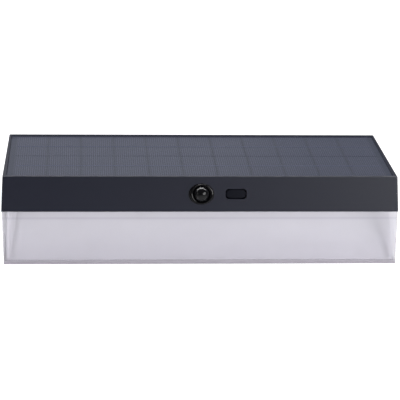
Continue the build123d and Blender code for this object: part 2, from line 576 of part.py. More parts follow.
with BuildPart() as tray_cavity:
    with BuildSketch(Plane.XY.offset(Z_BOTTOM)):
        Polygon(*tray_plan(REFLECTOR_HALF - REFLECTOR_WALL, REFLECTOR_FRONT), align=None)
        with Locations((0, REFLECTOR_FRONT - 1)):
            Rectangle(2 * (REFLECTOR_HALF - REFLECTOR_WALL), 2)
    extrude(amount=ROOF_UNDER - Z_BOTTOM)
    split(bisect_by=wedge_plane.offset(REFLECTOR_STANDOFF + REFLECTOR_WALL), keep=Keep.TOP)

with BuildPart() as reflector:
    with BuildSketch(Plane.XY.offset(REFLECTOR_BOTTOM)):
        Polygon(*tray_plan(REFLECTOR_HALF, REFLECTOR_FRONT), align=None)
    extrude(amount=ROOF_TOP - REFLECTOR_BOTTOM)
    split(bisect_by=wedge_plane.offset(REFLECTOR_STANDOFF), keep=Keep.TOP)
    add(tray_cavity.part, mode=Mode.SUBTRACT)
    with BuildSketch(rear_slope):
        ribs = int(2 * REFLECTOR_HALF / RIB_PITCH)
        with Locations(*[((i + 0.5 - ribs / 2) * RIB_PITCH, RIB_FOOT + RIB_LENGTH / 2) for i in range(ribs)]):
            Rectangle(RIB_WALL, RIB_LENGTH)
    extrude(amount=LENS_SEAL + REFLECTOR_STANDOFF + REFLECTOR_WALL / 2)
    with BuildSketch(Plane.XY.offset(ROOF_UNDER)):
        with Locations(*led_places()):
            Circle(LED_WINDOW_RADIUS)
        with Locations(*LAMP_SCREWS):
            Circle(SCREW_RADIUS + FIT)
    extrude(amount=REFLECTOR_WALL, mode=Mode.SUBTRACT)
reflector.part.label = "reflector"
export_step(reflector.part, "parts/reflector.step")

# ---- LED board on the reflector's roof, its LEDs looking down through the windows
with BuildPart() as led_board:
    with BuildSketch(Plane.XY.offset(ROOF_TOP)):
        with Locations((0, LED_BOARD_FRONT + LED_BOARD_DEPTH / 2)):
            RectangleRounded(LED_BOARD_LENGTH, LED_BOARD_DEPTH, BOARD_CORNER)
        with Locations(*LAMP_SCREWS):
            Circle(SCREW_RADIUS + FIT, mode=Mode.SUBTRACT)
    extrude(amount=BOARD)
led_board.part.label = "led_board"
export_step(led_board.part, "parts/led_board.step")

with BuildPart() as leds:
    with BuildSketch(Plane.XY.offset(ROOF_TOP)):
        with Locations(*led_places()):
            Rectangle(LED_LENGTH, LED_WIDTH)
    extrude(amount=-LED_HEIGHT)
leds.part.label = "leds"
export_step(leds.part, "parts/leds.step")

# ================================================================ solar panel, from the seat upwards
PANEL_HALF = RECESS_HALF - SEAT_GAP
PANEL_LENGTH = RECESS_LENGTH - 2 * SEAT_GAP
board_plane = seat_plane.offset(PANEL_TAPE)
cell_plane = board_plane.offset(PANEL_BOARD)
ribbon_plane = cell_plane.offset(CELL_THICKNESS)
cover_plane = ribbon_plane.offset(RIBBON_THICKNESS)

with BuildPart() as panel_tape:
    tape_half = PANEL_HALF - PANEL_TAPE_INSET
    tape_length = PANEL_LENGTH - 2 * PANEL_TAPE_INSET
    with BuildSketch(seat_plane):
        with Locations((0, SLANT / 2)):
            Rectangle(2 * tape_half, tape_length)
            Rectangle(
                2 * (tape_half - PANEL_TAPE_WIDTH), tape_length - 2 * PANEL_TAPE_WIDTH, mode=Mode.SUBTRACT
            )
    extrude(amount=PANEL_TAPE)
panel_tape.part.label = "panel_tape"
export_step(panel_tape.part, "parts/panel_tape.step")

with BuildPart() as panel_board:
    with BuildSketch(board_plane):
        with Locations((0, SLANT / 2)):
            RectangleRounded(2 * PANEL_HALF, PANEL_LENGTH, PANEL_CORNER)
    extrude(amount=PANEL_BOARD)
panel_board.part.label = "panel_board"
export_step(panel_board.part, "parts/panel_board.step")

CELL_COLUMNS = int(2 * PANEL_HALF / CELL_PITCH)
CELL_ROW = (PANEL_LENGTH - 2 * CELL_MARGIN) / CELL_ROWS
CELL_XS = [(i + 0.5 - CELL_COLUMNS / 2) * CELL_PITCH for i in range(CELL_COLUMNS)]
CELL_VS = [SLANT / 2 + (j + 0.5 - CELL_ROWS / 2) * CELL_ROW for j in range(CELL_ROWS)]

with BuildPart() as solar_cells:
    with BuildSketch(cell_plane):
        with Locations(*[(x, v) for x in CELL_XS for v in CELL_VS]):
            Rectangle(CELL_PITCH - CELL_GAP, CELL_ROW - CELL_GAP)
    extrude(amount=CELL_THICKNESS)
solar_cells.part.label = "solar_cells"
export_step(solar_cells.part, "parts/solar_cells.step")

with BuildPart() as cell_ribbons:
    with BuildSketch(ribbon_plane):
        with Locations(*[(0, v) for v in CELL_VS]):
            Rectangle(CELL_COLUMNS * CELL_PITCH - 2 * RIBBON_END, RIBBON_WIDTH)
    extrude(amount=RIBBON_THICKNESS)
cell_ribbons.part.label = "cell_ribbons"
export_step(cell_ribbons.part, "parts/cell_ribbons.step")

with BuildPart() as panel_cover:
    with BuildSketch(cover_plane):
        with Locations((0, SLANT / 2)):
            RectangleRounded(2 * PANEL_HALF, PANEL_LENGTH, PANEL_CORNER)
    extrude(amount=PANEL_COVER)
panel_cover.part.label = "panel_cover"
export_step(panel_cover.part, "parts/panel_cover.step")

# ================================================================ motion sensor in the front band

with BuildPart() as sensor_bezel:
    with BuildSketch(upright(FRONT)):
        with Locations((0, Z_MID)):
            Ellipse(BEZEL_LENGTH / 2, BEZEL_HEIGHT / 2)
    extrude(amount=BEZEL_FLANGE)
    chamfer(sensor_bezel.edges().group_by(Axis.Y)[0], length=BEZEL_CHAMFER)
    with BuildSketch(upright(FRONT)):
        with Locations((0, Z_MID)):
            Circle(BEZEL_TUBE_RADIUS)
    extrude(amount=-BEZEL_TUBE_LENGTH)
    with BuildSketch(upright(FRONT - BEZEL_FLANGE)):
        with Locations((0, Z_MID)):
            Circle(DOME_RADIUS + THREAD_GAP)
    extrude(amount=-BEZEL_FLANGE - 1, mode=Mode.SUBTRACT)
    with BuildSketch(upright(DOME_SEAT)):
        with Locations((0, Z_MID)):
            Circle(DOME_FLANGE_RADIUS + THREAD_GAP)
    extrude(amount=-BEZEL_TUBE_LENGTH - 1, mode=Mode.SUBTRACT)
sensor_bezel.part.label = "sensor_bezel"
export_step(sensor_bezel.part, "parts/sensor_bezel.step")

DOME_BACK = DOME_SEAT + DOME_FLANGE
dome_axis = Axis((0, 0, Z_MID), (0, 1, 0))
with BuildPart() as sensor_dome:
    with BuildSketch(Plane.XY.offset(Z_MID)):
        with BuildLine():
            centre_y = DOME_SEAT
            inner = DOME_RADIUS - DOME_WALL
            tip = centre_y - DOME_RADIUS
            half = sqrt(0.5)
            outer_mid = (DOME_RADIUS * half, centre_y - DOME_RADIUS * half)
            inner_mid = (inner * half, centre_y - inner * half)
            ThreePointArc((0, tip), outer_mid, (DOME_RADIUS, centre_y))
            Polyline(
                (DOME_RADIUS, centre_y),
                (DOME_FLANGE_RADIUS, centre_y),
                (DOME_FLANGE_RADIUS, DOME_BACK),
                (inner, DOME_BACK),
                (inner, centre_y),
            )
            ThreePointArc((inner, centre_y), inner_mid, (0, centre_y - inner))
            Line((0, centre_y - inner), (0, tip))
        make_face()
    revolve(axis=dome_axis)
sensor_dome.part.label = "sensor_dome"
export_step(sensor_dome.part, "parts/sensor_dome.step")

with BuildPart() as dome_retainer:
    with BuildSketch(upright(DOME_BACK)):
        with Locations((0, Z_MID)):
            Circle(DOME_FLANGE_RADIUS)
            Circle(DOME_FLANGE_RADIUS - RETAINER_WALL, mode=Mode.SUBTRACT)
    extrude(amount=-RETAINER)
dome_retainer.part.label = "dome_retainer"
export_step(dome_retainer.part, "parts/dome_retainer.step")

with BuildPart() as bezel_nut:
    with BuildSketch(upright(FRONT + HOOD_WALL)):
        with Locations((0, Z_MID)):
            RegularPolygon(BEZEL_NUT_RADIUS, 6)
            Circle(BEZEL_TUBE_RADIUS + THREAD_GAP, mode=Mode.SUBTRACT)
    extrude(amount=-BEZEL_NUT)
bezel_nut.part.label = "bezel_nut"
export_step(bezel_nut.part, "parts/bezel_nut.step")

with BuildPart() as pir_sensor:
    with BuildSketch(upright(SENSOR_BOARD_FRONT)):
        with Locations((0, Z_MID)):
            Circle(SENSOR_CAN_RADIUS + SENSOR_CAN_FOOT / 2)
    extrude(amount=SENSOR_CAN_FOOT)
    with BuildSketch(upright(SENSOR_BOARD_FRONT)):
        with Locations((0, Z_MID)):
            Circle(SENSOR_CAN_RADIUS)
    extrude(amount=SENSOR_CAN_HEIGHT)
    chamfer(pir_sensor.edges().group_by(Axis.Y)[0], length=0.4)
    with BuildSketch(upright(SENSOR_BOARD_FRONT - SENSOR_CAN_HEIGHT)):
        with Locations((0, Z_MID)):
            Rectangle(SENSOR_WINDOW_LENGTH, SENSOR_WINDOW_HEIGHT)
    extrude(amount=-SENSOR_WINDOW_DEPTH, mode=Mode.SUBTRACT)
pir_sensor.part.label = "pir_sensor"
export_step(pir_sensor.part, "parts/pir_sensor.step")

with BuildPart() as sensor_board:
    with BuildSketch(upright(SENSOR_BOARD_FRONT)):
        with Locations((SENSOR_BOARD_X, Z_MID)):
            RectangleRounded(SENSOR_BOARD_LENGTH, SENSOR_BOARD_HEIGHT, BOARD_CORNER)
        with Locations(*SENSOR_SCREWS):
            Circle(SCREW_RADIUS + FIT, mode=Mode.SUBTRACT)
    extrude(amount=-BOARD)
sensor_board.part.label = "sensor_board"
export_step(sensor_board.part, "parts/sensor_board.step")

# ================================================================ mode button and its switch

with BuildPart() as mode_button:
    cap_front = FRONT + BUTTON_SET_BACK
    flange_front = FRONT + GUIDE_DEPTH + SEAT_GAP
    cap_length = SLOT_LENGTH - 2 * BUTTON_GAP
    cap_height = SLOT_HEIGHT - 2 * BUTTON_GAP
    with BuildSketch(upright(cap_front)):
        with Locations((BUTTON_X, Z_MID)):
            RectangleRounded(cap_length, cap_height, SLOT_CORNER - BUTTON_GAP)
    extrude(amount=-(flange_front - cap_front))
    fillet(mode_button.edges().group_by(Axis.Y)[0], radius=BUTTON_EDGE_RADIUS)
    with BuildSketch(upright(flange_front)):
        with Locations((BUTTON_X, Z_MID)):
            RectangleRounded(SLOT_LENGTH + GUIDE_WALL, SLOT_HEIGHT + GUIDE_WALL, SLOT_CORNER)
    extrude(amount=-BUTTON_FLANGE)
    with BuildSketch(upright(flange_front + BUTTON_FLANGE)):
        with Locations((BUTTON_X, Z_MID)):
            Circle(STEM_RADIUS)
    extrude(amount=-(PLUNGER_FRONT - flange_front - BUTTON_FLANGE))
mode_button.part.label = "mode_button"
export_step(mode_button.part, "parts/mode_button.step")

with BuildPart() as switch_body:
    with BuildSketch(upright(SWITCH_FRONT)):
        with Locations((BUTTON_X, Z_MID)):
            Rectangle(SWITCH_SIZE, SWITCH_SIZE)
            Circle(STEM_RADIUS + THREAD_GAP, mode=Mode.SUBTRACT)
    extrude(amount=-SWITCH_BORE)
    with BuildSketch(upright(SWITCH_FRONT + SWITCH_BORE)):
        with Locations((BUTTON_X, Z_MID)):
            Rectangle(SWITCH_SIZE, SWITCH_SIZE)
    extrude(amount=-(SWITCH_HEIGHT - SWITCH_BORE))
switch_body.part.label = "switch_body"
export_step(switch_body.part, "parts/switch_body.step")

with BuildPart() as switch_plunger:
    with BuildSketch(upright(PLUNGER_FRONT)):
        with Locations((BUTTON_X, Z_MID)):
            Circle(STEM_RADIUS)
    extrude(amount=-(PLUNGER_REACH + SWITCH_BORE - BUTTON_TRAVEL - FIT))
switch_plunger.part.label = "switch_plunger"
export_step(switch_plunger.part, "parts/switch_plunger.step")

# ================================================================ control board on the back plate


def on_board(dx, dz):
    """A place on the control board, measured from its centre."""
    return (CONTROL_BOARD_X + dx, CONTROL_BOARD_Z + dz)


with BuildPart() as control_board:
    with BuildSketch(upright(CONTROL_FRONT)):
        with Locations((CONTROL_BOARD_X, CONTROL_BOARD_Z)):
            RectangleRounded(CONTROL_BOARD_LENGTH, CONTROL_BOARD_HEIGHT, BOARD_CORNER)
        with Locations(*CONTROL_SCREWS):
            Circle(SCREW_RADIUS + FIT, mode=Mode.SUBTRACT)
    extrude(amount=-BOARD)
control_board.part.label = "control_board"
export_step(control_board.part, "parts/control_board.step")

with BuildPart() as control_chips:
    for dx, dz, length, width in CHIPS:
        with BuildSketch(upright(CONTROL_FRONT)):
            with Locations(on_board(dx, dz)):
                Rectangle(length, width)
        extrude(amount=CHIP_HEIGHT)
control_chips.part.label = "control_chips"
export_step(control_chips.part, "parts/control_chips.step")

with BuildPart() as power_inductor:
    with BuildSketch(upright(CONTROL_FRONT)):
        with Locations(on_board(*INDUCTOR_PLACE)):
            RectangleRounded(INDUCTOR_SIZE, INDUCTOR_SIZE, INDUCTOR_CORNER)
    extrude(amount=INDUCTOR_HEIGHT)
    chamfer(power_inductor.edges().group_by(Axis.Y)[0], length=0.8)
power_inductor.part.label = "power_inductor"
export_step(power_inductor.part, "parts/power_inductor.step")

with BuildPart() as board_capacitors:
    with BuildSketch(upright(CONTROL_FRONT)):
        with Locations(*[on_board(*place) for place in CAPACITOR_PLACES]):
            Circle(CAPACITOR_RADIUS)
    extrude(amount=CAPACITOR_LENGTH)
    chamfer(board_capacitors.edges().group_by(Axis.Y)[0], length=0.4)
board_capacitors.part.label = "board_capacitors"
export_step(board_capacitors.part, "parts/board_capacitors.step")

# a socket for each pair of leads
SOCKETS = {name: on_board(*place) for name, place in SOCKET_PLACES.items()}
SOCKET_FRONT = CONTROL_FRONT - PLUG_HEIGHT
with BuildPart() as board_sockets:
    with BuildSketch(upright(CONTROL_FRONT)):
        with Locations(*SOCKETS.values()):
            Rectangle(PLUG_LENGTH, PLUG_WIDTH)
    extrude(amount=PLUG_HEIGHT)
board_sockets.part.label = "board_sockets"
export_step(board_sockets.part, "parts/board_sockets.step")

# ================================================================ battery pack in the tub

with BuildPart() as battery_cells:
    with BuildSketch(Plane.YZ.offset(BATTERY_X - BATTERY_LENGTH / 2)):
        with Locations(*[(y, BATTERY_Z) for y in BATTERY_YS]):
            Circle(BATTERY_RADIUS)
    extrude(amount=BATTERY_LENGTH)
    chamfer(battery_cells.edges().filter_by(GeomType.CIRCLE), length=BATTERY_CHAMFER)
battery_cells.part.label = "battery_cells"
export_step(battery_cells.part, "parts/battery_cells.step")

with BuildPart() as battery_tabs:
    for x in (BATTERY_X - BATTERY_LENGTH / 2 - BATTERY_TAB, BATTERY_X + BATTERY_LENGTH / 2):
        with BuildSketch(Plane.YZ.offset(x)):
            with Locations((BATTERY_MIDDLE, BATTERY_Z)):
                Rectangle(BATTERY_SPACING + 2 * BATTERY_TAB_OVERLAP, BATTERY_TAB_HEIGHT)
        extrude(amount=BATTERY_TAB)
battery_tabs.part.label = "battery_tabs"
export_step(battery_tabs.part, "parts/battery_tabs.step")

GUARD_X = BATTERY_X + BATTERY_LENGTH / 2 + BATTERY_TAB
with BuildPart() as battery_guard:
    with BuildSketch(Plane.YZ.offset(GUARD_X)):
        with Locations((BATTERY_MIDDLE, BATTERY_Z)):
            Rectangle(BATTERY_SPACING + 2 * BATTERY_GUARD_EDGE, BATTERY_GUARD_HEIGHT)
    extrude(amount=BATTERY_GUARD)
battery_guard.part.label = "battery_guard"
export_step(battery_guard.part, "parts/battery_guard.step")

with BuildPart() as battery_strap:
    crown = BATTERY_Z + BATTERY_RADIUS + STRAP_THICKNESS / 2
    foot = STRAP_BOSS_TOP + STRAP_THICKNESS / 2
    back, fore = STRAP_BOSSES
    shoulder = BATTERY_RADIUS + STRAP_THICKNESS / 2 + FIT
    with BuildSketch(Plane.YZ.offset(BATTERY_X - STRAP_WIDTH / 2)):
        with BuildLine() as strap_line:
            FilletPolyline(
                (back + STRAP_BOSS_RADIUS, foot),
                (BATTERY_YS[0] + shoulder, foot),
                (BATTERY_YS[0] + shoulder, crown),
                (BATTERY_YS[1] - shoulder, crown),
                (BATTERY_YS[1] - shoulder, foot),
                (fore - STRAP_BOSS_RADIUS, foot),
                radius=STRAP_BEND,
            )
        trace(line_width=STRAP_THICKNESS)
    extrude(amount=STRAP_WIDTH)
    with BuildSketch(Plane.XY.offset(STRAP_BOSS_TOP)):
        with Locations(*[(BATTERY_X, y) for y in STRAP_BOSSES]):
            Circle(SCREW_RADIUS + FIT)
    extrude(amount=STRAP_THICKNESS + 1, mode=Mode.SUBTRACT)
battery_strap.part.label = "battery_strap"
export_step(battery_strap.part, "parts/battery_strap.step")

# ================================================================ screws, grouped by the job they do


def screw(plane, length):
    """A pan-head screw: its head stands on the plane, its shank goes down through it."""
    with BuildPart() as one:
        with BuildSketch(plane):
            Circle(SCREW_HEAD_RADIUS)
        extrude(amount=SCREW_HEAD_HEIGHT)
        rim = one.edges().filter_by(GeomType.CIRCLE)
        top = [e for e in rim if abs(plane.to_local_coords(e.center()).Z - SCREW_HEAD_HEIGHT) < 0.01]
        chamfer(top, length=0.5, length2=0.9)
        with BuildSketch(plane.offset(SCREW_HEAD_HEIGHT)):
            Rectangle(SCREW_CROSS_LENGTH, SCREW_CROSS_WIDTH)
            Rectangle(SCREW_CROSS_WIDTH, SCREW_CROSS_LENGTH)
        extrude(amount=-SCREW_CROSS_DEPTH, mode=Mode.SUBTRACT)
        with BuildSketch(plane):
            Circle(SCREW_RADIUS)
        extrude(amount=-length)
    return one.part


with BuildPart() as case_screws:
    for x, z in CASE_SCREWS:
        add(screw(Plane(origin=(x, SCREW_SEAT, z), x_dir=(1, 0, 0), z_dir=(0, 1, 0)), CASE_SCREW_LENGTH))
case_screws.part.label = "case_screws"
export_step(case_screws.part, "parts/case_screws.step")

with BuildPart() as lamp_screws:
    for x, y in LAMP_SCREWS:
        under_roof = Plane(origin=(x, y, ROOF_UNDER), x_dir=(1, 0, 0), z_dir=(0, 0, -1))
        add(screw(under_roof, LAMP_SCREW_LENGTH))
lamp_screws.part.label = "lamp_screws"
export_step(lamp_screws.part, "parts/lamp_screws.step")

with BuildPart() as board_screws:
    for x, z in CONTROL_SCREWS:
        before_board = Plane(origin=(x, CONTROL_FRONT, z), x_dir=(1, 0, 0), z_dir=(0, -1, 0))
        add(screw(before_board, BOARD_SCREW_LENGTH))
board_screws.part.label = "board_screws"
export_step(board_screws.part, "parts/board_screws.step")

with BuildPart() as sensor_board_screws:
    for x, z in SENSOR_SCREWS:
        seat = (x, SENSOR_BOARD_FRONT + BOARD, z)
        add(screw(Plane(origin=seat, x_dir=(1, 0, 0), z_dir=(0, 1, 0)), BOARD_SCREW_LENGTH))
sensor_board_screws.part.label = "sensor_board_screws"
export_step(sensor_board_screws.part, "parts/sensor_board_screws.step")

with BuildPart() as strap_screws:
    for y in STRAP_BOSSES:
        seat = (BATTERY_X, y, STRAP_BOSS_TOP + STRAP_THICKNESS)
        add(screw(Plane(origin=seat, x_dir=(1, 0, 0), z_dir=(0, 0, 1)), STRAP_SCREW_LENGTH))
strap_screws.part.label = "strap_screws"
export_step(strap_screws.part, "parts/strap_screws.step")

# ================================================================ leads, each a sheathed two-core cable


def lead(points):
    """A cable along a route of straight runs joined by arcs as large as they allow.

    Each arc's radius is 0.45 of the shorter of its two runs over the tangent of half the turn.
    """
    route = [Vector(p) for p in points]
    radii = []
    for before, corner, after in zip(route, route[1:], route[2:]):
        turn = radians((corner - before).get_angle(after - corner))
        shorter = min((corner - before).length, (after - corner).length)
        radii.append(0.45 * shorter / tan(turn / 2))
    with BuildPart() as cable:
        with BuildLine():
            core = FilletPolyline(*route, radius=radii)
        with BuildSketch(Plane(origin=core @ 0, z_dir=core % 0)):
            Circle(LEAD_RADIUS)
        sweep()
    print("lead radii", [round(r, 1) for r in radii])
    return cable.part


sensor_plug = (SENSOR_PLUG_X, SENSOR_BOARD_FRONT + BOARD, Z_MID)
with BuildPart() as sensor_plug_socket:
    with BuildSketch(upright(sensor_plug[1])):
        with Locations((sensor_plug[0], sensor_plug[2])):
            Rectangle(PLUG_LENGTH, PLUG_WIDTH)
    extrude(amount=-PLUG_HEIGHT)
sensor_plug_socket.part.label = "sensor_plug"
export_step(sensor_plug_socket.part, "parts/sensor_plug.step")

LED_PLUG_Y = LED_BOARD_FRONT + LED_BOARD_DEPTH - PLUG_WIDTH / 2 - LED_PLUG_EDGE
with BuildPart() as led_plug:
    with BuildSketch(Plane.XY.offset(LED_BOARD_TOP)):
        with Locations((LED_PLUG_X, LED_PLUG_Y)):
            Rectangle(PLUG_LENGTH, PLUG_WIDTH)
    extrude(amount=PLUG_HEIGHT)
led_plug.part.label = "led_plug"
export_step(led_plug.part, "parts/led_plug.step")

with BuildPart() as sensor_leads:
    x, y, z = sensor_plug[0], sensor_plug[1] + PLUG_HEIGHT, sensor_plug[2]
    end_x, end_z = SOCKETS["sensor"]
    first_run, last_run = SENSOR_LEAD_RUNS
    route = [
        (x, y, z),
        (x, y + first_run, z),
        Vector(x, y, z) + Vector(SENSOR_LEAD_CORNER),
        (end_x, SOCKET_FRONT - last_run, end_z),
        (end_x, SOCKET_FRONT, end_z),
    ]
    add(lead(route))
sensor_leads.part.label = "sensor_leads"
export_step(sensor_leads.part, "parts/sensor_leads.step")

with BuildPart() as led_leads:
    x, y, z = LED_PLUG_X, LED_PLUG_Y, LED_BOARD_TOP + PLUG_HEIGHT
    end_x, end_z = SOCKETS["led"]
    first_run, last_run = LED_LEAD_RUNS
    route = [
        (x, y, z),
        (x, y, z + first_run),
        Vector(x, y, z) + Vector(LED_LEAD_CORNER),
        Vector(end_x, y, z) + Vector(LED_LEAD_DROP),
        (end_x, SOCKET_FRONT - last_run, end_z),
        (end_x, SOCKET_FRONT, end_z),
    ]
    add(lead(route))
led_leads.part.label = "led_leads"
export_step(led_leads.part, "parts/led_leads.step")

# the battery's leads enter their socket from below
with BuildPart() as battery_leads:
    x, y, z = GUARD_X + BATTERY_GUARD, BATTERY_YS[0] + BATTERY_LEAD_Y, BATTERY_Z
    end_x, end_z = SOCKETS["battery"]
    end_y = CONTROL_FRONT - PLUG_HEIGHT / 2
    first_run, rise = BATTERY_LEAD_RUNS
    route = [
        (x, y, z),
        (x + first_run, y, z),
        Vector(x, y, z) + Vector(BATTERY_LEAD_CORNER),
        (end_x, end_y, z + rise),
        (end_x, end_y, end_z - PLUG_WIDTH / 2),
    ]
    add(lead(route))
battery_leads.part.label = "battery_leads"
export_step(battery_leads.part, "parts/battery_leads.step")

with BuildPart() as panel_leads:
    begin = board_plane.from_local_coords((PANEL_LEAD_X, SLANT / 2, 0))
    first_run, last_run = PANEL_LEAD_RUNS
    below = begin - board_plane.z_dir * first_run
    end_x, end_z = SOCKETS["panel"]
    route = [
        begin,
        below,
        below + Vector(PANEL_LEAD_CORNER),
        (end_x, SOCKET_FRONT - last_run, end_z),
        (end_x, SOCKET_FRONT, end_z),
    ]
    add(lead(route))
panel_leads.part.label = "panel_leads"
export_step(panel_leads.part, "parts/panel_leads.step")
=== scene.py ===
"""Finishes, fine pieces and studio for a solar fence light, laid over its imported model.

Lengths are in metres. X runs along the light, the wall is the plane y = 0, the front faces -Y, +Z is up.
"""

import math

import bmesh
import bpy
import numpy as np
from mathutils import Matrix, Vector


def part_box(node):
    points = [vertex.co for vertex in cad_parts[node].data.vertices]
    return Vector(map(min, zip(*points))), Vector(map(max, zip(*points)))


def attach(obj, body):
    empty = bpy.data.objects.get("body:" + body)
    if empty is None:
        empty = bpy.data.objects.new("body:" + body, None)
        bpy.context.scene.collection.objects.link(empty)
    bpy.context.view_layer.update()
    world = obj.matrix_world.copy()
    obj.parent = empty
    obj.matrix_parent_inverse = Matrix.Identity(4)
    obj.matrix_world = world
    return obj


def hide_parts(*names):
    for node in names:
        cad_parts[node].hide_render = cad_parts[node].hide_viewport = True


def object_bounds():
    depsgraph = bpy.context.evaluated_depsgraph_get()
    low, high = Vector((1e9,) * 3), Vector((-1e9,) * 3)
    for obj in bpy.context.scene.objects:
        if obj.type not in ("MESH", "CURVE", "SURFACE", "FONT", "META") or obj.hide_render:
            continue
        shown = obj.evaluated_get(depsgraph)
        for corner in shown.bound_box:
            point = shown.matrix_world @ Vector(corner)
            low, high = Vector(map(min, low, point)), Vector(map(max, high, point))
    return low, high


bl_info = {
    "name": "Solar fence light",
    "version": (1, 0, 0),
    "blender": (4, 5, 0),
    "location": "3D View > Sidebar > Fence light",
    "description": "Finishes, fine pieces and studio for a solar fence light",
    "category": "Object",
}

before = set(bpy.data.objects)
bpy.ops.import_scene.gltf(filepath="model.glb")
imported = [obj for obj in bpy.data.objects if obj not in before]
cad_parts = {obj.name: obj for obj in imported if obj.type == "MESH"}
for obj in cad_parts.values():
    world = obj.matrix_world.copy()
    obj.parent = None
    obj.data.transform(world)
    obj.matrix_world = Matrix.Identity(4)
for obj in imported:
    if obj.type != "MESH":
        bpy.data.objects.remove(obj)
CAD_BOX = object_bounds()
MM = 0.001

# places that several pieces share, read from the frame's own nodes
BAND_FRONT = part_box("main_housing")[0].y
BAND_MIDDLE = sum(corner.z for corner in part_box("sensor_bezel")) / 2
BUTTON_MIDDLE = sum(corner.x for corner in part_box("mode_button")) / 2
# the sensor sits on the light's middle plane
SENSOR_MIDDLE = 0.0


# ------------------------------------------------------------------ colours and nodes

# a Mix node's colour sockets go by number, because its other kinds of value share their names
SHARE, FIRST, SECOND, MIXED = 0, 6, 7, 2


def linear(hex_code):
    """An sRGB hex colour as linear red, green and blue with full alpha."""
    channels = [int(hex_code[i : i + 2], 16) / 255 for i in (1, 3, 5)]
    return tuple(c / 12.92 if c <= 0.04045 else ((c + 0.055) / 1.055) ** 2.4 for c in channels) + (1.0,)


def add_node(material, kind, sockets=None, **settings):
    """Adds a node with its settings; each socket takes a value or another node's output."""
    tree = material.node_tree
    node = tree.nodes.new(kind)
    for name, value in settings.items():
        setattr(node, name, value)
    for name, value in (sockets or {}).items():
        if isinstance(value, bpy.types.NodeSocket):
            tree.links.new(value, node.inputs[name])
        else:
            node.inputs[name].default_value = value
    return node


def new_material(name):
    """An empty node material, and the piece's own coordinates for its patterns."""
    material = bpy.data.materials.new(name)
    material.use_nodes = True
    material.node_tree.nodes.clear()
    return material, add_node(material, "ShaderNodeTexCoord").outputs["Object"]


def complete(material, **sockets):
    """Ends a material with its shader, whose sockets are named with underscores for spaces."""
    named = {key.replace("_", " "): value for key, value in sockets.items()}
    surface = add_node(material, "ShaderNodeBsdfPrincipled", named)
    add_node(material, "ShaderNodeOutputMaterial", {"Surface": surface.outputs[0]})
    return material


def set_stops(colour_ramp, stops):
    """Gives a colour ramp its stops, each a place from 0 to 1 and an sRGB hex colour."""
    elements = colour_ramp.elements
    for number, (position, colour) in enumerate(stops):
        element = elements[number] if number < 2 else elements.new(position)
        element.position, element.color = position, linear(colour)


def grain(material, place, size, depth, strength=1.0):
    """Fine grain as a bent normal: a noise of that size in metres, raised by that depth."""
    sockets = {"Vector": place, "Scale": 1 / size, "Detail": 2.0, "Roughness": 0.55}
    noise = add_node(material, "ShaderNodeTexNoise", sockets)
    sockets = {"Height": noise.outputs["Fac"], "Distance": depth, "Strength": strength}
    return add_node(material, "ShaderNodeBump", sockets).outputs["Normal"]


def mottle(material, place, size, low, high):
    """Two close sRGB hex colours that drift into each other over patches of that size in metres."""
    noise = add_node(material, "ShaderNodeTexNoise", {"Vector": place, "Scale": 1 / size, "Detail": 3.0})
    sockets = {SHARE: noise.outputs["Fac"], FIRST: linear(low), SECOND: linear(high)}
    return add_node(material, "ShaderNodeMix", sockets, data_type="RGBA").outputs[MIXED]


def height_share(material, place, low, high):
    """How far up a point lies between two heights, from 0 to 1."""
    axes = add_node(material, "ShaderNodeSeparateXYZ", {"Vector": place})
    sockets = {"Value": axes.outputs["Z"], "From Min": low, "From Max": high}
    return add_node(material, "ShaderNodeMapRange", sockets).outputs["Result"]


def near_lines(material, way, pitch, reach):
    """1 within a reach of lines that repeat at a pitch, the first half a pitch from the middle, else 0.

    The way over the pitch, less its whole turns and a half, is 0 on a line and its size grows from there.
    """
    steps = (
        ("MULTIPLY", 1 / pitch),
        ("FRACT", 0.0),
        ("SUBTRACT", 0.5),
        ("ABSOLUTE", 0.0),
        ("LESS_THAN", reach / pitch),
    )
    for operation, second in steps:
        way = add_node(material, "ShaderNodeMath", {0: way, 1: second}, operation=operation).outputs[0]
    return way


# ------------------------------------------------------------------ materials


def moulded_abs(settings):
    """Charcoal ABS, moulded in a spark-eroded tool: a soft satin sheen broken by very fine grain."""
    material, place = new_material("charcoal ABS, spark-eroded mould")
    colour = mottle(material, place, 60 * MM, "#111320", "#141623")
    relief = grain(material, place, settings.grain, 0.02 * MM, 0.5)
    return complete(
        material, Base_Color=colour, Normal=relief, Roughness=0.34, IOR=1.53, Specular_IOR_Level=0.34
    )


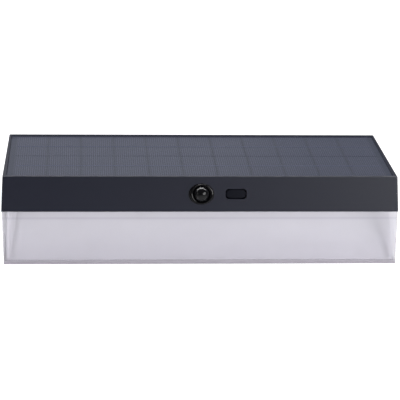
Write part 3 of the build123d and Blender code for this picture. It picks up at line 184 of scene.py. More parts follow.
def clear_polycarbonate(settings):
    """Clear polycarbonate, polished mould: a faint lavender cast and a thin haze over the tray behind."""
    material, place = new_material("clear polycarbonate, polished mould")
    tint = mottle(material, place, 50 * MM, "#dcdbe3", "#e4e3ea")
    # painted shade up the wall: the thick foot is painted grey, the thin wall is left clear, a faint
    # painted shade line lies at the ledge where the wall thickens, and the thick rim is left clear
    low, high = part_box("lens")
    height = high.z - low.z
    up = height_share(material, place, low.z, high.z)
    foot, ledge, line = settings.foot / height, settings.ledge / height, settings.line / height
    painted_shade = add_node(material, "ShaderNodeValToRGB", {"Fac": up})
    stops = (
        (0.0, "#b0abb0"),
        (foot, "#c6c2c7"),
        (foot + line, "#f4f2f5"),
        (ledge - line, "#ffffff"),
        (ledge, "#f4f2f6"),
        (ledge + line, "#f4f2f6"),
        (ledge + 2 * line, "#ffffff"),
    )
    set_stops(painted_shade.color_ramp, stops)
    shaded = {SHARE: 1.0, FIRST: tint, SECOND: painted_shade.outputs["Color"]}
    colour = add_node(material, "ShaderNodeMix", shaded, data_type="RGBA", blend_type="MULTIPLY")
    # a wall seen edge on lets less light through, and so does the thick foot
    grazing = add_node(material, "ShaderNodeLayerWeight", {"Blend": 0.25})
    wall_veil = add_node(
        material,
        "ShaderNodeMapRange",
        {"Value": grazing.outputs["Facing"], "To Min": settings.haze, "To Max": settings.edge_haze},
    )
    clearing = {"From Min": foot, "From Max": foot + line, "To Min": settings.foot_haze, "To Max": 0.0}
    foot_veil = add_node(material, "ShaderNodeMapRange", {"Value": up, **clearing})
    veils = {0: wall_veil.outputs["Result"], 1: foot_veil.outputs["Result"]}
    veil = add_node(material, "ShaderNodeMath", veils, operation="MAXIMUM")
    return complete(
        material,
        Base_Color=colour.outputs[MIXED],
        Normal=grain(material, place, 1.6 * MM, 0.01 * MM, 0.4),
        Alpha=veil.outputs[0],
        Roughness=settings.roughness,
        IOR=1.585,
    )


def white_abs(settings):
    """White ABS, polished mould: bright, even and softly glossy, so that it throws the light forward;
    painted shade darkens it towards the bottom and along its corners.
    """
    material, place = new_material("white ABS, polished mould")
    pale = mottle(material, place, 80 * MM, "#ebe8f0", "#f2f0f6")
    # painted shade: the tray is painted darker towards its bottom
    low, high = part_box("reflector")
    painted_low_shade = {SHARE: height_share(material, place, low.z, high.z), FIRST: linear("#d0cdd5"), SECOND: pale}
    low_shaded = add_node(material, "ShaderNodeMix", painted_low_shade, data_type="RGBA")
    # painted shade where the sloped back meets each cheek, a plane that closes in towards the wall: a soft
    # dark band is painted along that corner;
    # |x| + y tan(taper) is the same all over a cheek and falls with the way inwards
    slant = math.tan(settings.taper)
    axes = add_node(material, "ShaderNodeSeparateXYZ", {"Vector": place})
    across = add_node(material, "ShaderNodeMath", {0: axes.outputs["X"]}, operation="ABSOLUTE")
    slanted = {0: axes.outputs["Y"], 1: slant, 2: across.outputs[0]}
    reach = add_node(material, "ShaderNodeMath", slanted, operation="MULTIPLY_ADD")
    cheek = high.x - settings.wall + low.y * slant
    inwards = add_node(
        material,
        "ShaderNodeMapRange",
        {"Value": reach.outputs[0], "From Min": cheek, "From Max": cheek - settings.painted_shade_width},
    )
    painted_shade = add_node(material, "ShaderNodeValToRGB", {"Fac": inwards.outputs["Result"]})
    set_stops(painted_shade.color_ramp, ((0.0, "#ffffff"), (0.06, "#ffffff"), (0.12, "#5c5a5f"), (1.0, "#ffffff")))
    shaded = {SHARE: 1.0, FIRST: low_shaded.outputs[MIXED], SECOND: painted_shade.outputs["Color"]}
    colour = add_node(material, "ShaderNodeMix", shaded, data_type="RGBA", blend_type="MULTIPLY")
    relief = grain(material, place, 0.9 * MM, 0.01 * MM, 0.4)
    return complete(material, Base_Color=colour.outputs[MIXED], Normal=relief, Roughness=0.32, IOR=1.53)


def seal_rubber():
    """Black EPDM rubber, pressed: matte and slightly dusty."""
    material, place = new_material("black EPDM rubber, pressed")
    colour = mottle(material, place, 10 * MM, "#151517", "#1d1d20")
    relief = grain(material, place, 0.4 * MM, 0.03 * MM)
    return complete(material, Base_Color=colour, Normal=relief, Roughness=0.85, IOR=1.5)


def foam_tape():
    """Black polyethylene foam tape: matte with open cells."""
    material, place = new_material("black PE foam tape")
    colour = mottle(material, place, 4 * MM, "#18181a", "#242426")
    relief = grain(material, place, 0.7 * MM, 0.12 * MM)
    return complete(material, Base_Color=colour, Normal=relief, Roughness=0.95, IOR=1.45)


def gloss_black(name):
    """Black plastic from a polished mould: a mirror-like skin that shows the lights as crisp glints."""
    material, place = new_material(name)
    colour = mottle(material, place, 10 * MM, "#050506", "#0a0a0c")
    relief = grain(material, place, 1.2 * MM, 0.004 * MM, 0.4)
    return complete(
        material, Base_Color=colour, Normal=relief, Roughness=0.05, IOR=1.53, Specular_IOR_Level=0.16
    )


def button_rubber():
    """Blue-black silicone rubber, moulded: soft, almost without gloss."""
    material, place = new_material("blue-black silicone rubber")
    colour = mottle(material, place, 6 * MM, "#080910", "#0b0d16")
    relief = grain(material, place, 0.35 * MM, 0.02 * MM)
    return complete(
        material, Base_Color=colour, Normal=relief, Roughness=0.6, IOR=1.43, Specular_IOR_Level=0.1
    )


def plain_plastic(name, low, high, roughness=0.5):
    """Nylon, ABS or another plastic for small moulded pieces: even colour with faint flow marks."""
    material, place = new_material(name)
    colour = mottle(material, place, 5 * MM, low, high)
    relief = grain(material, place, 0.4 * MM, 0.01 * MM)
    return complete(material, Base_Color=colour, Normal=relief, Roughness=roughness, IOR=1.53)


def metal(name, low, high, roughness, line_size):
    """Plated or drawn metal: fine lines across one way of it and a faint change of tone."""
    material, place = new_material(name)
    colour = mottle(material, place, 3 * MM, low, high)
    # the noise is squeezed twelve times along Y, which draws it out into lines
    squeezed = add_node(material, "ShaderNodeMapping", {"Vector": place, "Scale": (1.0, 12.0, 1.0)})
    relief = grain(material, squeezed.outputs["Vector"], line_size, 0.01 * MM)
    return complete(material, Base_Color=colour, Normal=relief, Metallic=1.0, Roughness=roughness)


def solder_mask(name, low, high):
    """FR4 board under solder mask: glossy, with the glass cloth's weave faintly raised."""
    material, place = new_material(name)
    colour = mottle(material, place, 4 * MM, low, high)
    # real threads lie 0.5 mm apart; they are drawn three times as coarse, so that they show;
    # a wave of scale 1 repeats every pi / 10 metres
    thread_pitch = 1.57 * MM
    sockets = {"Vector": place, "Scale": math.pi / 10 / thread_pitch, "Distortion": 0.4}
    weave = add_node(material, "ShaderNodeTexWave", sockets)
    raised = {"Height": weave.outputs["Fac"], "Distance": 0.02 * MM, "Strength": 0.5}
    relief = add_node(material, "ShaderNodeBump", raised).outputs["Normal"]
    return complete(material, Base_Color=colour, Normal=relief, Roughness=0.3, IOR=1.55)


def shrink_sleeve():
    """Blue PVC shrink sleeve on the cells: glossy, drawn tight, with faint ripples round the can."""
    material, place = new_material("blue PVC shrink sleeve")
    colour = mottle(material, place, 20 * MM, "#1c4f93", "#2159a0")
    relief = grain(material, place, 3.0 * MM, 0.05 * MM, 0.6)
    return complete(material, Base_Color=colour, Normal=relief, Roughness=0.25, IOR=1.52)


def phosphor():
    """Yellow phosphor gel over the LED chips: smooth and softly glossy."""
    material, place = new_material("yellow phosphor gel")
    colour = mottle(material, place, 1 * MM, "#e7b93c", "#efc95a")
    relief = grain(material, place, 0.3 * MM, 0.01 * MM)
    return complete(material, Base_Color=colour, Normal=relief, Roughness=0.35, IOR=1.45)


def silicon_cells(settings):
    """Monocrystalline silicon strips: blue-grey anti-reflection film crossed by printed silver fingers."""
    material, place = new_material("monocrystalline silicon, printed fingers")
    film = mottle(material, place, 20 * MM, settings.film_low, settings.film_high)
    along = add_node(material, "ShaderNodeSeparateXYZ", {"Vector": place}).outputs["X"]
    finger_pitch = settings.cell_pitch / settings.fingers
    finger = near_lines(material, along, finger_pitch, settings.finger_width / 2)
    fingers = {SHARE: finger, FIRST: film, SECOND: linear(settings.finger_colour)}
    printed = add_node(material, "ShaderNodeMix", fingers, data_type="RGBA")
    # the strips' long edges are bare and darker
    edge = near_lines(material, along, settings.cell_pitch, settings.bare_edge)
    edges = {SHARE: edge, FIRST: printed.outputs[MIXED], SECOND: linear("#141821")}
    colour = add_node(material, "ShaderNodeMix", edges, data_type="RGBA").outputs[MIXED]
    return complete(material, Base_Color=colour, Roughness=0.3, IOR=1.6, Specular_IOR_Level=0.6)


def panel_laminate(settings):
    """Clear PET laminate over the cells, pressed with a fine matte texture: it greys the whole panel."""
    material, place = new_material("clear PET laminate, matte pressed")
    return complete(
        material,
        Base_Color=mottle(material, place, 50 * MM, "#363946", "#3c3f4c"),
        Normal=grain(material, place, 0.5 * MM, 0.02 * MM, 0.6),
        Alpha=settings.laminate_haze,
        Roughness=settings.laminate_roughness,
        IOR=1.3,
    )


def studio_paper(settings):
    """White matte paper: pale round the light, with painted shade that greys it in front of the light and a
    painted glow behind it.
    """
    material, place = new_material("white studio paper")
    pale = mottle(material, place, 500 * MM, "#f4f4f5", "#f7f7f8")
    depth = add_node(material, "ShaderNodeSeparateXYZ", {"Vector": place}).outputs["Y"]
    # painted shade: the paper is painted grey in front of the light and fades to pale behind it
    fade = add_node(
        material,
        "ShaderNodeMapRange",
        {"Value": depth, "From Min": settings.paper_grey, "From Max": settings.paper_pale},
        interpolation_type="SMOOTHSTEP",
    )
    painted_front_shade = {SHARE: fade.outputs["Result"], FIRST: linear("#78787c"), SECOND: pale}
    # painted glow: the paper behind the light gives off light of its own, though no lamp stands there
    glow = add_node(
        material,
        "ShaderNodeMapRange",
        {
            "Value": depth,
            "From Min": settings.glow_start,
            "From Max": settings.glow_full,
            "To Max": settings.paper_glow,
        },
        interpolation_type="SMOOTHSTEP",
    )
    return complete(
        material,
        Base_Color=add_node(material, "ShaderNodeMix", painted_front_shade, data_type="RGBA").outputs[MIXED],
        Emission_Color=linear("#ffffff"),
        Emission_Strength=glow.outputs["Result"],
        Roughness=0.9,
        Specular_IOR_Level=0.1,
    )


# ------------------------------------------------------------------ shapes


def grid_faces(rows, columns, close_across=False, close_along=False):
    """The corners of each face of a grid of points; a closed way joins its last points to its first."""
    index = np.arange(rows * columns).reshape(rows, columns)
    if close_across:
        index = np.concatenate([index, index[:, :1]], axis=1)
    if close_along:
        index = np.concatenate([index, index[:1]], axis=0)
    corners = (index[:-1, :-1], index[:-1, 1:], index[1:, 1:], index[1:, :-1])
    return np.stack(corners, axis=-1).reshape(-1, 4).tolist()


def smooth_faces(mesh):
    """Shades all of a mesh's faces smooth."""
    mesh.polygons.foreach_set("use_smooth", np.ones(len(mesh.polygons), dtype=bool))


def skin(name, points, material, body, close_along=False):
    """A grid of points, rows along the shape and columns round it, as one mesh with outward faces."""
    mesh = bpy.data.meshes.new(name)
    faces = grid_faces(*points.shape[:2], close_across=True, close_along=close_along)
    mesh.from_pydata(points.reshape(-1, 3).tolist(), [], faces)
    welded = bmesh.new()
    welded.from_mesh(mesh)
    bmesh.ops.remove_doubles(welded, verts=welded.verts, dist=0.001 * MM)
    bmesh.ops.recalc_face_normals(welded, faces=welded.faces)
    welded.to_mesh(mesh)
    welded.free()
    smooth_faces(mesh)
    piece = bpy.data.objects.new(name, mesh)
    bpy.context.scene.collection.objects.link(piece)
    mesh.materials.append(material)
    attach(piece, body)
    return piece


def circle(turn):
    """A circle of radius 1: cosine across, sine up."""
    return np.stack([np.cos(turn), np.sin(turn)])


def rounded_outline(half_width, half_height, corner, turn):
    """A rectangle with soft corners, across and up, as a superellipse.

    Each coordinate is its half size times the cosine or sine to the power 2 / p, with its sign kept.
    p is twice the smaller half size over the corner's radius, so that small corners make it square.
    """
    power = 2 * min(half_width, half_height) / corner
    flat = circle(turn)
    return np.array([[half_width], [half_height]]) * np.sign(flat) * np.abs(flat) ** (2 / power)


def facet_relief(fall, turn):
    """How far the dome's small lenses sink below its sphere: 0 at a lens's middle, 1 where lenses meet.

    The lenses stand in rings round the tip. The relief is the square of the way from the lens's middle
    to its edge, as a share, either down the dome or round it, whichever is larger.
    """
    relief = np.zeros((len(fall), len(turn)))
    # each ring: the angles from the tip where it starts and ends, and how many lenses it holds
    for start, end, count in ((0.0, 0.36, 1), (0.36, 0.98, 6), (0.98, np.pi / 2 + 0.01, 12)):
        inside = (fall >= start) & (fall < end)
        if count == 1:
            relief[inside] = ((fall[inside] / end) ** 2)[:, None]
            continue
        down = (fall[inside] - (start + end) / 2) / ((end - start) / 2)
        around = 2 * np.abs((turn * count / (2 * np.pi)) % 1 - 0.5)
        relief[inside] = np.maximum(down[:, None] ** 2, around[None, :] ** 2)
    return relief


def upright(outlines, y, middle):
    """Stands outlines upright, one to a row: across and up become x and z round a point of the band."""
    points = np.empty((len(outlines), outlines.shape[-1], 3))
    points[..., 0] = middle + outlines[:, 0]
    points[..., 1] = y
    points[..., 2] = BAND_MIDDLE + outlines[:, 1]
    return points


def finish_node(name, material, smooth=False):
    """Gives a CAD node its material; the mesh itself stays as it is."""
    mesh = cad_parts[name].data
    mesh.materials.clear()
    mesh.materials.append(material)
    if smooth:
        smooth_faces(mesh)


# ------------------------------------------------------------------ settings


class FENCE_PG_Housing(bpy.types.PropertyGroup):
    """The hood and the rear body."""

    grain: bpy.props.FloatProperty(
        name="Grain", description="Size of the spark-eroded grain", default=0.5 * MM, unit="LENGTH"
    )


class FENCE_PG_Lens(bpy.types.PropertyGroup):
    """The clear wedge below the band."""

    haze: bpy.props.FloatProperty(
        name="Haze", description="How much of the lens's own colour shows", default=0.34, subtype="FACTOR"
    )
    edge_haze: bpy.props.FloatProperty(
        name="Edge haze", description="The same where a wall is seen edge on", default=0.9, subtype="FACTOR"
    )
    foot: bpy.props.FloatProperty(
        name="Foot", description="Height of the thick foot", default=2.6 * MM, unit="LENGTH"
    )
    foot_haze: bpy.props.FloatProperty(
        name="Foot haze", description="The same for the foot", default=0.75, subtype="FACTOR"
    )
    ledge: bpy.props.FloatProperty(
        name="Ledge", description="Height at which the wall thickens", default=34.3 * MM, unit="LENGTH"
    )
    # the painted shade lines at the foot and at the ledge are this wide
    line: bpy.props.FloatProperty(
        name="Line", description="Width of the lines at foot and ledge", default=0.8 * MM, unit="LENGTH"
    )
    roughness: bpy.props.FloatProperty(
        name="Roughness", description="Roughness of the polished faces", default=0.28, subtype="FACTOR"
    )


class FENCE_PG_Reflector(bpy.types.PropertyGroup):
    """The white tray behind the lens."""

    taper: bpy.props.FloatProperty(
        name="Taper", description="How the cheeks close in", default=math.radians(8.0), unit="ROTATION"
    )
    wall: bpy.props.FloatProperty(
        name="Wall", description="Thickness of the cheeks", default=1.5 * MM, unit="LENGTH"
    )
    # how far the painted shade reaches from the corners where the back meets the cheeks
    painted_shade_width: bpy.props.FloatProperty(
        name="Shade width", description="Reach of the corners' shade", default=5.0 * MM, unit="LENGTH"
    )


class FENCE_PG_Panel(bpy.types.PropertyGroup):
    """The solar panel on the hood."""

    film_low: bpy.props.StringProperty(
        name="Darker film", description="sRGB hex colour of the cells", default="#1b1f2f"
    )
    film_high: bpy.props.StringProperty(
        name="Lighter film", description="sRGB hex colour of the cells", default="#212537"
    )
    finger_colour: bpy.props.StringProperty(
        name="Finger colour", description="sRGB hex colour of the printed fingers", default="#575b6b"
    )
    cell_pitch: bpy.props.FloatProperty(
        name="Cell pitch", description="From strip to strip", default=25.85 * MM, unit="LENGTH"
    )
    bare_edge: bpy.props.FloatProperty(
        name="Bare edge", description="From a strip's edge to a finger", default=0.8 * MM, unit="LENGTH"
    )
    fingers: bpy.props.IntProperty(
        name="Fingers", description="How many fingers cross the width of a strip", default=16
    )
    finger_width: bpy.props.FloatProperty(
        name="Finger width",
        description="Drawn wider than the printed 0.1 mm, so that it shows",
        default=0.4 * MM,
        unit="LENGTH",
    )
    laminate_haze: bpy.props.FloatProperty(
        name="Laminate haze", description="How much it hides the cells", default=0.2, subtype="FACTOR"
    )
    laminate_roughness: bpy.props.FloatProperty(
        name="Laminate roughness", description="Of the pressed surface", default=0.4, subtype="FACTOR"
    )


class FENCE_PG_Sensor(bpy.types.PropertyGroup):
    """The motion sensor's ring and dome."""

    ring_length: bpy.props.FloatProperty(
        name="Ring length", description="Across the oval ring", default=19.2 * MM, unit="LENGTH"
    )
    ring_height: bpy.props.FloatProperty(
        name="Ring height", description="Up the oval ring", default=15.8 * MM, unit="LENGTH"
    )
    ring_rise: bpy.props.FloatProperty(
        name="Ring rise", description="From the band to the ring's crest", default=1.55 * MM, unit="LENGTH"
    )
    ring_fall: bpy.props.FloatProperty(
        name="Ring fall", description="From the crest back to the bore", default=1.0 * MM, unit="LENGTH"
    )
    tube_radius: bpy.props.FloatProperty(
        name="Tube radius", description="Outside of the ring's tube", default=7.2 * MM, unit="LENGTH"
    )
    tube_length: bpy.props.FloatProperty(
        name="Tube length", description="How far it reaches into the band", default=6.0 * MM, unit="LENGTH"
    )
    dome_radius: bpy.props.FloatProperty(
        name="Dome radius", description="Outside radius of the dome", default=5.95 * MM, unit="LENGTH"
    )
    dome_wall: bpy.props.FloatProperty(
        name="Dome wall", description="Thickness of the dome", default=0.8 * MM, unit="LENGTH"
    )
    dome_lead: bpy.props.FloatProperty(
        name="Dome lead", description="From the band to the dome's seat", default=0.4 * MM, unit="LENGTH"
    )
    flange_radius: bpy.props.FloatProperty(
        name="Flange radius", description="Radius of the dome's flange", default=6.5 * MM, unit="LENGTH"
    )
    flange_thickness: bpy.props.FloatProperty(
        name="Flange thickness", description="Of the dome's flange", default=1.0 * MM, unit="LENGTH"
    )
    facet_depth: bpy.props.FloatProperty(
        name="Facet depth", description="How deep the small lenses meet", default=0.1 * MM, unit="LENGTH"
    )


class FENCE_PG_Button(bpy.types.PropertyGroup):
    """The mode button in the band."""

    length: bpy.props.FloatProperty(
        name="Length", description="Across the button's cap", default=15.3 * MM, unit="LENGTH"
    )
    height: bpy.props.FloatProperty(
        name="Height", description="Up the button's cap", default=7.1 * MM, unit="LENGTH"
    )
    corner: bpy.props.FloatProperty(
        name="Corner", description="Radius of the cap's corners", default=2.3 * MM, unit="LENGTH"
    )
    crown: bpy.props.FloatProperty(
        name="Crown", description="How far the button's face bulges", default=0.25 * MM, unit="LENGTH"
    )
    edge_radius: bpy.props.FloatProperty(
        name="Edge radius", description="Round of the cap's front edge", default=0.6 * MM, unit="LENGTH"
    )
    side: bpy.props.FloatProperty(
        name="Side", description="From the cap's front to its flange", default=4.0 * MM, unit="LENGTH"
    )
    flange: bpy.props.FloatProperty(
        name="Flange", description="Thickness of the cap's flange", default=0.9 * MM, unit="LENGTH"
    )
    stem_radius: bpy.props.FloatProperty(
        name="Stem radius", description="Of the stem that meets the switch", default=1.7 * MM, unit="LENGTH"
    )


class FENCE_PG_Stage(bpy.types.PropertyGroup):
    """Camera, lights and floor."""

    camera_place: bpy.props.FloatVectorProperty(
        name="Camera", description="Camera place", default=(-0.0892, -1.2995, 0.0977), unit="LENGTH"
    )
    yaw: bpy.props.FloatProperty(
        name="Yaw", description="Turn to the right", default=math.radians(3.77), unit="ROTATION"
    )
    pitch: bpy.props.FloatProperty(
        name="Pitch", description="Tilt down", default=math.radians(5.0), unit="ROTATION"
    )
    roll: bpy.props.FloatProperty(
        name="Roll", description="Turn about the view", default=math.radians(0.32), unit="ROTATION"
    )
    focal: bpy.props.FloatProperty(
        name="Focal length", description="On a 36 mm sensor, in millimetres", default=144.5
    )
    shift: bpy.props.FloatProperty(name="Shift", description="Sideways lens shift", default=0.03)
    floor_drop: bpy.props.FloatProperty(
        name="Floor", description="Floor below the light", default=0.18, unit="LENGTH"
    )
    # painted shade: between these two places the paper fades from painted grey to pale
    paper_grey: bpy.props.FloatProperty(
        name="Paper grey", description="Y up to which the paper is grey", default=-1.2, unit="LENGTH"
    )
    paper_pale: bpy.props.FloatProperty(
        name="Paper pale", description="Y from which the paper is pale", default=-0.3, unit="LENGTH"
    )
    # painted glow: the paper's own emitted light behind the light, with no lamp behind it
    paper_glow: bpy.props.FloatProperty(
        name="Paper glow", description="Light through the paper behind the light", default=0.9
    )
    glow_start: bpy.props.FloatProperty(
        name="Glow start", description="Y at which the glow sets in", default=-0.2, unit="LENGTH"
    )
    glow_full: bpy.props.FloatProperty(
        name="Glow full", description="Y from which the glow is full", default=0.25, unit="LENGTH"
    )
    sky: bpy.props.FloatProperty(name="Sky", description="Strength of the even surroundings", default=0.18)


class FENCE_PG_Light(bpy.types.PropertyGroup):
    """All the settings of the fence light."""

    housing: bpy.props.PointerProperty(type=FENCE_PG_Housing)
    lens: bpy.props.PointerProperty(type=FENCE_PG_Lens)
    reflector: bpy.props.PointerProperty(type=FENCE_PG_Reflector)
    panel: bpy.props.PointerProperty(type=FENCE_PG_Panel)
    sensor: bpy.props.PointerProperty(type=FENCE_PG_Sensor)
    button: bpy.props.PointerProperty(type=FENCE_PG_Button)
    stage: bpy.props.PointerProperty(type=FENCE_PG_Stage)


# ------------------------------------------------------------------ operators, outside to inside


class FENCE_OT_housing(bpy.types.Operator):
    """Finishes the hood and the rear body in charcoal ABS"""

    bl_idname = "fence.housing"
    bl_label = "Housing"

    def execute(self, context):
        plastic = moulded_abs(context.scene.fence_light.housing)
        finish_node("main_housing", plastic)
        finish_node("rear_housing", plastic)
        return {"FINISHED"}


class FENCE_OT_lens(bpy.types.Operator):
    """Finishes the clear lens and the seal behind it"""

    bl_idname = "fence.lens"
    bl_label = "Lens"

    def execute(self, context):
        finish_node("lens", clear_polycarbonate(context.scene.fence_light.lens))
        rubber = seal_rubber()
        finish_node("lens_gasket", rubber)
        finish_node("rear_gasket", rubber)
        return {"FINISHED"}


class FENCE_OT_reflector(bpy.types.Operator):
    """Finishes the reflector tray, its LED board and the LEDs"""

    bl_idname = "fence.reflector"
    bl_label = "Reflector and LEDs"

    def execute(self, context):
        finish_node("reflector", white_abs(context.scene.fence_light.reflector))
        finish_node("led_board", solder_mask("white solder mask on FR4", "#dfdfdb", "#e9e9e5"))
        finish_node("leds", phosphor())
        finish_node("led_plug", plain_plastic("off-white nylon 66, LED plug", "#d8d2c0", "#e2dcca"))
        return {"FINISHED"}


class FENCE_OT_panel(bpy.types.Operator):
    """Finishes the solar panel: tape, board, cells, ribbons and laminate"""

    bl_idname = "fence.panel"
    bl_label = "Solar panel"

    def execute(self, context):
        settings = context.scene.fence_light.panel
        finish_node("panel_tape", foam_tape())
        finish_node("panel_board", solder_mask("blue-grey solder mask on FR4", "#282c38", "#2c303d"))
        finish_node("solar_cells", silicon_cells(settings))
        finish_node("cell_ribbons", metal("tinned copper ribbon", "#595d70", "#616578", 0.45, 0.2 * MM))
        finish_node("panel_cover", panel_laminate(settings))
        return {"FINISHED"}


class FENCE_OT_bezel(bpy.types.Operator):
    """Builds the gloss black oval ring round the sensor"""

    bl_idname = "fence.bezel"
    bl_label = "Sensor ring"

    def execute(self, context):
        settings = context.scene.fence_light.sensor
        turn = np.linspace(0, 2 * np.pi, 96, endpoint=False)
        # clearances: round the dome at the bore's front and at its throat, and round the dome's flange
        bore_gap, throat_gap, seat_gap = 0.1 * MM, 0.04 * MM, 0.05 * MM
        oval = circle(turn) * np.array([[settings.ring_length], [settings.ring_height]]) / 2
        bore = circle(turn) * (settings.dome_radius + bore_gap)
        # profile: share of the way from the oval edge to the bore, and depth behind the band's face;
        # a quarter round up to the crest, halfway in, then a lower one down into the bore
        lip = np.linspace(0, np.pi / 2, 13)
        share = np.concatenate([0.5 * (1 - np.cos(lip)), 0.5 + 0.5 * np.sin(lip[1:])])
        rise = -settings.ring_rise * np.sin(lip)
        fall = -settings.ring_rise + settings.ring_fall * (1 - np.cos(lip[1:]))
        front = share[:, None, None] * bore + (1 - share)[:, None, None] * oval
        # the throat, the seat of the dome's flange, the tube through the band and its outside to the oval
        throat, seat = settings.dome_radius + throat_gap, settings.flange_radius + seat_gap
        radii = np.array([throat, seat, seat, settings.tube_radius, settings.tube_radius])
        lead, length = settings.dome_lead, settings.tube_length
        points = upright(
            np.concatenate([front, radii[:, None, None] * circle(turn)]),
            BAND_FRONT + np.concatenate([rise, fall, [-lead, -lead, length, length, 0.0]])[:, None],
            SENSOR_MIDDLE,
        )
        plastic = gloss_black("black ABS, polished mould")
        ring = skin("sensor_ring", points, plastic, "housing", close_along=True)
        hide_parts("sensor_bezel")
        return {"FINISHED"}


class FENCE_OT_dome(bpy.types.Operator):
    """Builds the dome with its three rings of small lenses"""

    bl_idname = "fence.dome"
    bl_label = "Sensor dome"

    def execute(self, context):
        settings = context.scene.fence_light.sensor
        turn = np.linspace(0, 2 * np.pi, 144, endpoint=False)
        fall = np.linspace(0, np.pi / 2, 49)
        # the small lenses fade out towards the seat
        relief = settings.facet_depth * facet_relief(fall, turn) * np.cos(fall)[:, None] ** 0.3
        outer = settings.dome_radius - relief
        inner = settings.dome_radius - settings.dome_wall
        flange, thickness = settings.flange_radius, settings.flange_thickness
        # rows from the tip down the outside, round the flange and up the smooth inside
        whole = np.ones(len(turn))
        back = fall[::-1]
        radius = np.concatenate(
            [
                outer * np.sin(fall)[:, None],
                np.outer([flange, flange, inner], whole),
                np.outer(inner * np.sin(back), whole),
            ]
        )
        depth = np.concatenate(
            [
                -outer * np.cos(fall)[:, None],
                np.outer([0.0, thickness, thickness], whole),
                np.outer(-inner * np.cos(back), whole),
            ]
        )
        seat = BAND_FRONT - settings.dome_lead
        points = upright(radius[:, None] * circle(turn), seat + depth, SENSOR_MIDDLE)
        dome = skin("dome_lenses", points, gloss_black("smoked HDPE, polished mould"), "housing")
        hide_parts("sensor_dome")
        return {"FINISHED"}


class FENCE_OT_sensor(bpy.types.Operator):
    """Finishes the pieces behind the sensor's dome"""

    bl_idname = "fence.sensor"
    bl_label = "Sensor board"

    def execute(self, context):
        finish_node("dome_retainer", plain_plastic("black ABS, dome retainer", "#0d0d0f", "#141417"))
        finish_node("bezel_nut", plain_plastic("black nylon, ring nut", "#101013", "#18181b"))
        finish_node("pir_sensor", metal("nickel-plated steel can", "#b9b7b0", "#c6c4bd", 0.25, 0.1 * MM))
        finish_node("sensor_board", solder_mask("green solder mask, sensor board", "#14522c", "#1a5f34"))
        finish_node("sensor_plug", plain_plastic("off-white nylon 66, sensor plug", "#d8d2c0", "#e2dcca"))
        return {"FINISHED"}


class FENCE_OT_button(bpy.types.Operator):
    """Builds the rubber mode button and finishes its switch"""

    bl_idname = "fence.button"
    bl_label = "Mode button"

    def execute(self, context):
        settings = context.scene.fence_light.button
        low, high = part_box("mode_button")
        turn = np.linspace(0, 2 * np.pi, 96, endpoint=False)
        outline = rounded_outline(settings.length / 2, settings.height / 2, settings.corner, turn)
        # share of the outline's reach, and depth behind the button's front, from the middle outwards:
        # the bulging face, the rounded edge, the side and the flange round its back
        face, flange = 0.86, 1.13
        bulge = np.linspace(0, face, 8)
        edge = np.linspace(0, np.pi / 2, 6)
        share = np.concatenate([bulge, face + (1 - face) * np.sin(edge), [1.0, flange, flange]])
        face_depth = settings.crown * (bulge / face) ** 2
        edge_depth = settings.crown + settings.edge_radius * (1 - np.cos(edge))
        # the stem reaches from the flange's back to the switch and is closed there
        flange_back, stem_end = settings.side + settings.flange, high.y - low.y
        stem = np.array([settings.stem_radius, settings.stem_radius, 0.0])
        outlines = np.concatenate([share[:, None, None] * outline, stem[:, None, None] * circle(turn)])
        straights = [settings.side, settings.side, flange_back, flange_back, stem_end, stem_end]
        depth = np.concatenate([face_depth, edge_depth, straights])
        points = upright(outlines, low.y + depth[:, None], BUTTON_MIDDLE)
        button = skin("button_cap", points, button_rubber(), "button")
        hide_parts("mode_button")
        finish_node("switch_body", plain_plastic("black nylon, switch", "#131315", "#1b1b1e"))
        finish_node("switch_plunger", plain_plastic("natural nylon, plunger", "#c9c4b4", "#d5d0c1"))
        return {"FINISHED"}


class FENCE_OT_control(bpy.types.Operator):
    """Finishes the control board and what stands on it"""

    bl_idname = "fence.control"
    bl_label = "Control board"

    def execute(self, context):
        finish_node("control_board", solder_mask("green solder mask, control board", "#12502a", "#185c32"))
        finish_node("control_chips", plain_plastic("black epoxy, moulded chips", "#101012", "#18181a", 0.6))
        finish_node("power_inductor", plain_plastic("grey ferrite, pressed", "#2c2c2f", "#38383b", 0.7))
        finish_node("board_capacitors", metal("drawn aluminium can", "#c4c6ca", "#d2d4d8", 0.3, 0.15 * MM))
        finish_node("board_sockets", plain_plastic("off-white nylon 66, sockets", "#d8d2c0", "#e2dcca"))
        return {"FINISHED"}


class FENCE_OT_battery(bpy.types.Operator):
    """Finishes the battery pack"""

    bl_idname = "fence.battery"
    bl_label = "Battery pack"

    def execute(self, context):
        finish_node("battery_cells", shrink_sleeve())
        finish_node("battery_tabs", metal("pure nickel strip", "#a9a49b", "#b6b1a8", 0.35, 0.1 * MM))
        finish_node("battery_guard", solder_mask("green solder mask, guard board", "#12502a", "#185c32"))
        finish_node("battery_strap", plain_plastic("black polypropylene strap", "#141416", "#1c1c1f", 0.55))
        return {"FINISHED"}


class FENCE_OT_leads(bpy.types.Operator):
    """Finishes the four sheathed leads inside"""

    bl_idname = "fence.leads"
    bl_label = "Leads"

    def execute(self, context):
        sheath = plain_plastic("black PVC sheath, extruded", "#121214", "#1a1a1c", 0.45)
        for name in ("sensor_leads", "led_leads", "battery_leads", "panel_leads"):
            finish_node(name, sheath, smooth=True)
        return {"FINISHED"}


class FENCE_OT_screws(bpy.types.Operator):
    """Finishes the screws"""

    bl_idname = "fence.screws"
    bl_label = "Screws"

    def execute(self, context):
        zinc = metal("zinc-plated steel, cold headed", "#9b9ca0", "#a9aaae", 0.32, 0.15 * MM)
        for name in ("case_screws", "lamp_screws", "board_screws", "sensor_board_screws", "strap_screws"):
            finish_node(name, zinc)
        return {"FINISHED"}


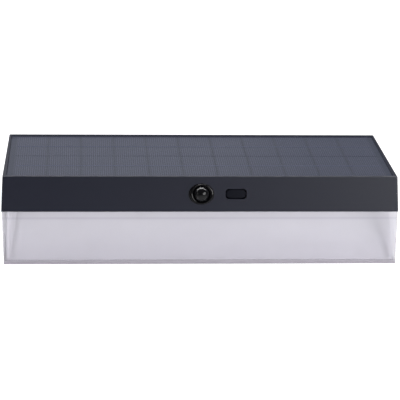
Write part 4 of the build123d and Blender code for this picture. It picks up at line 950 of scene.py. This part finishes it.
class FENCE_OT_stage(bpy.types.Operator):
    """Builds the pale floor, the soft lights and the camera"""

    bl_idname = "fence.stage"
    bl_label = "Stage"

    def floor(self, settings):
        """A floor that runs back and curves up: a straight run, a quarter turn and an upright run."""
        turn = np.linspace(0, np.pi / 2, 24)
        half_width, near, far, bend, top = 5.0, -2.0, 3.5, 0.5, 1.2
        y = np.concatenate([[near], far + bend * np.sin(turn), [far + bend]])
        z = np.concatenate([[0.0], bend * (1 - np.cos(turn)), [top]])
        points = np.empty((len(y), 2, 3))
        points[..., 0] = -half_width, half_width
        points[..., 1] = y[:, None]
        points[..., 2] = CAD_BOX[0].z - settings.floor_drop + z[:, None]
        mesh = bpy.data.meshes.new("floor")
        mesh.from_pydata(points.reshape(-1, 3).tolist(), [], grid_faces(len(y), 2))
        smooth_faces(mesh)
        mesh.materials.append(studio_paper(settings))
        ground = bpy.data.objects.new("floor", mesh)
        bpy.context.scene.collection.objects.link(ground)

    def surroundings(self, settings):
        """An even white world, far weaker than the lights."""
        world = bpy.data.worlds.new("even white surroundings")
        world.use_nodes = True
        world.node_tree.nodes["Background"].inputs["Color"].default_value = linear("#ffffff")
        world.node_tree.nodes["Background"].inputs["Strength"].default_value = settings.sky
        bpy.context.scene.world = world

    def softbox(self, name, place, aim, size, power):
        """A rectangular light of that width and height at a place, aimed at a point."""
        light = bpy.data.lights.new(name, "AREA")
        light.shape = "RECTANGLE"
        light.size, light.size_y = size
        light.energy = power
        lamp = bpy.data.objects.new(name, light)
        bpy.context.scene.collection.objects.link(lamp)
        lamp.location = place
        lamp.rotation_euler = (Vector(aim) - Vector(place)).to_track_quat("-Z", "Y").to_euler()

    def camera(self, settings):
        """A camera at its place, turned to the right, tilted down and rolled about its view."""
        yaw, pitch, roll = settings.yaw, settings.pitch, settings.roll
        ahead = Vector((math.sin(yaw) * math.cos(pitch), math.cos(yaw) * math.cos(pitch), -math.sin(pitch)))
        level = Vector((math.cos(yaw), -math.sin(yaw), 0.0))
        upward = level.cross(ahead)
        right = level * math.cos(roll) + upward * math.sin(roll)
        up = upward * math.cos(roll) - level * math.sin(roll)
        optics = bpy.data.cameras.new("camera")
        optics.lens, optics.sensor_width, optics.shift_x = settings.focal, 36.0, settings.shift
        optics.clip_start, optics.clip_end = 0.05, 20.0
        viewer = bpy.data.objects.new("camera", optics)
        bpy.context.scene.collection.objects.link(viewer)
        turned = Matrix((right, up, -ahead)).transposed().to_4x4()
        viewer.matrix_world = Matrix.Translation(settings.camera_place) @ turned
        bpy.context.scene.camera = viewer

    def execute(self, context):
        settings = context.scene.fence_light.stage
        self.floor(settings)
        self.surroundings(settings)
        # the key lights band and lens from the right and the fill opens their left end; the strip above
        # greys the panel and draws the dome's arc; the back light is mirrored softly in the panel
        self.softbox("key", (1.5, -1.95, 0.35), aim=(0.0, -0.08, 0.0), size=(1.6, 1.4), power=66.0)
        self.softbox("fill", (-2.0, -1.1, 0.35), aim=(0.0, -0.08, 0.0), size=(0.9, 0.9), power=4.0)
        self.softbox("strip", (-0.25, 0.05, 0.75), aim=(-0.25, -0.08, 0.0), size=(2.0, 0.1), power=22.0)
        self.softbox("back", (-0.05, 2.0, 1.5), aim=(0.0, -0.05, 0.0), size=(0.8, 0.9), power=0.8)
        self.camera(settings)
        context.scene.view_settings.view_transform = "Standard"
        return {"FINISHED"}


# ------------------------------------------------------------------ panel and registration

STEPS = (
    FENCE_OT_housing,
    FENCE_OT_lens,
    FENCE_OT_reflector,
    FENCE_OT_panel,
    FENCE_OT_bezel,
    FENCE_OT_dome,
    FENCE_OT_sensor,
    FENCE_OT_button,
    FENCE_OT_control,
    FENCE_OT_battery,
    FENCE_OT_leads,
    FENCE_OT_screws,
    FENCE_OT_stage,
)


class FENCE_PT_light(bpy.types.Panel):
    """Lists the steps that build the light."""

    bl_idname = "FENCE_PT_light"
    bl_label = "Fence light"
    bl_space_type = "VIEW_3D"
    bl_region_type = "UI"
    bl_category = "Fence light"

    def draw(self, context):
        for step in STEPS:
            self.layout.operator(step.bl_idname)


GROUPS = (
    FENCE_PG_Housing,
    FENCE_PG_Lens,
    FENCE_PG_Reflector,
    FENCE_PG_Panel,
    FENCE_PG_Sensor,
    FENCE_PG_Button,
    FENCE_PG_Stage,
    FENCE_PG_Light,
)


def register():
    """Registers the settings, the steps and the panel."""
    for kind in GROUPS + STEPS + (FENCE_PT_light,):
        bpy.utils.register_class(kind)
    bpy.types.Scene.fence_light = bpy.props.PointerProperty(type=FENCE_PG_Light)


def unregister():
    """Takes them out again, last first."""
    del bpy.types.Scene.fence_light
    for kind in reversed(GROUPS + STEPS + (FENCE_PT_light,)):
        bpy.utils.unregister_class(kind)


def main():
    """Builds everything in order."""
    register()
    for step in STEPS:
        family, name = step.bl_idname.split(".")
        getattr(getattr(bpy.ops, family), name)()


if __name__ == "__main__":
    main()
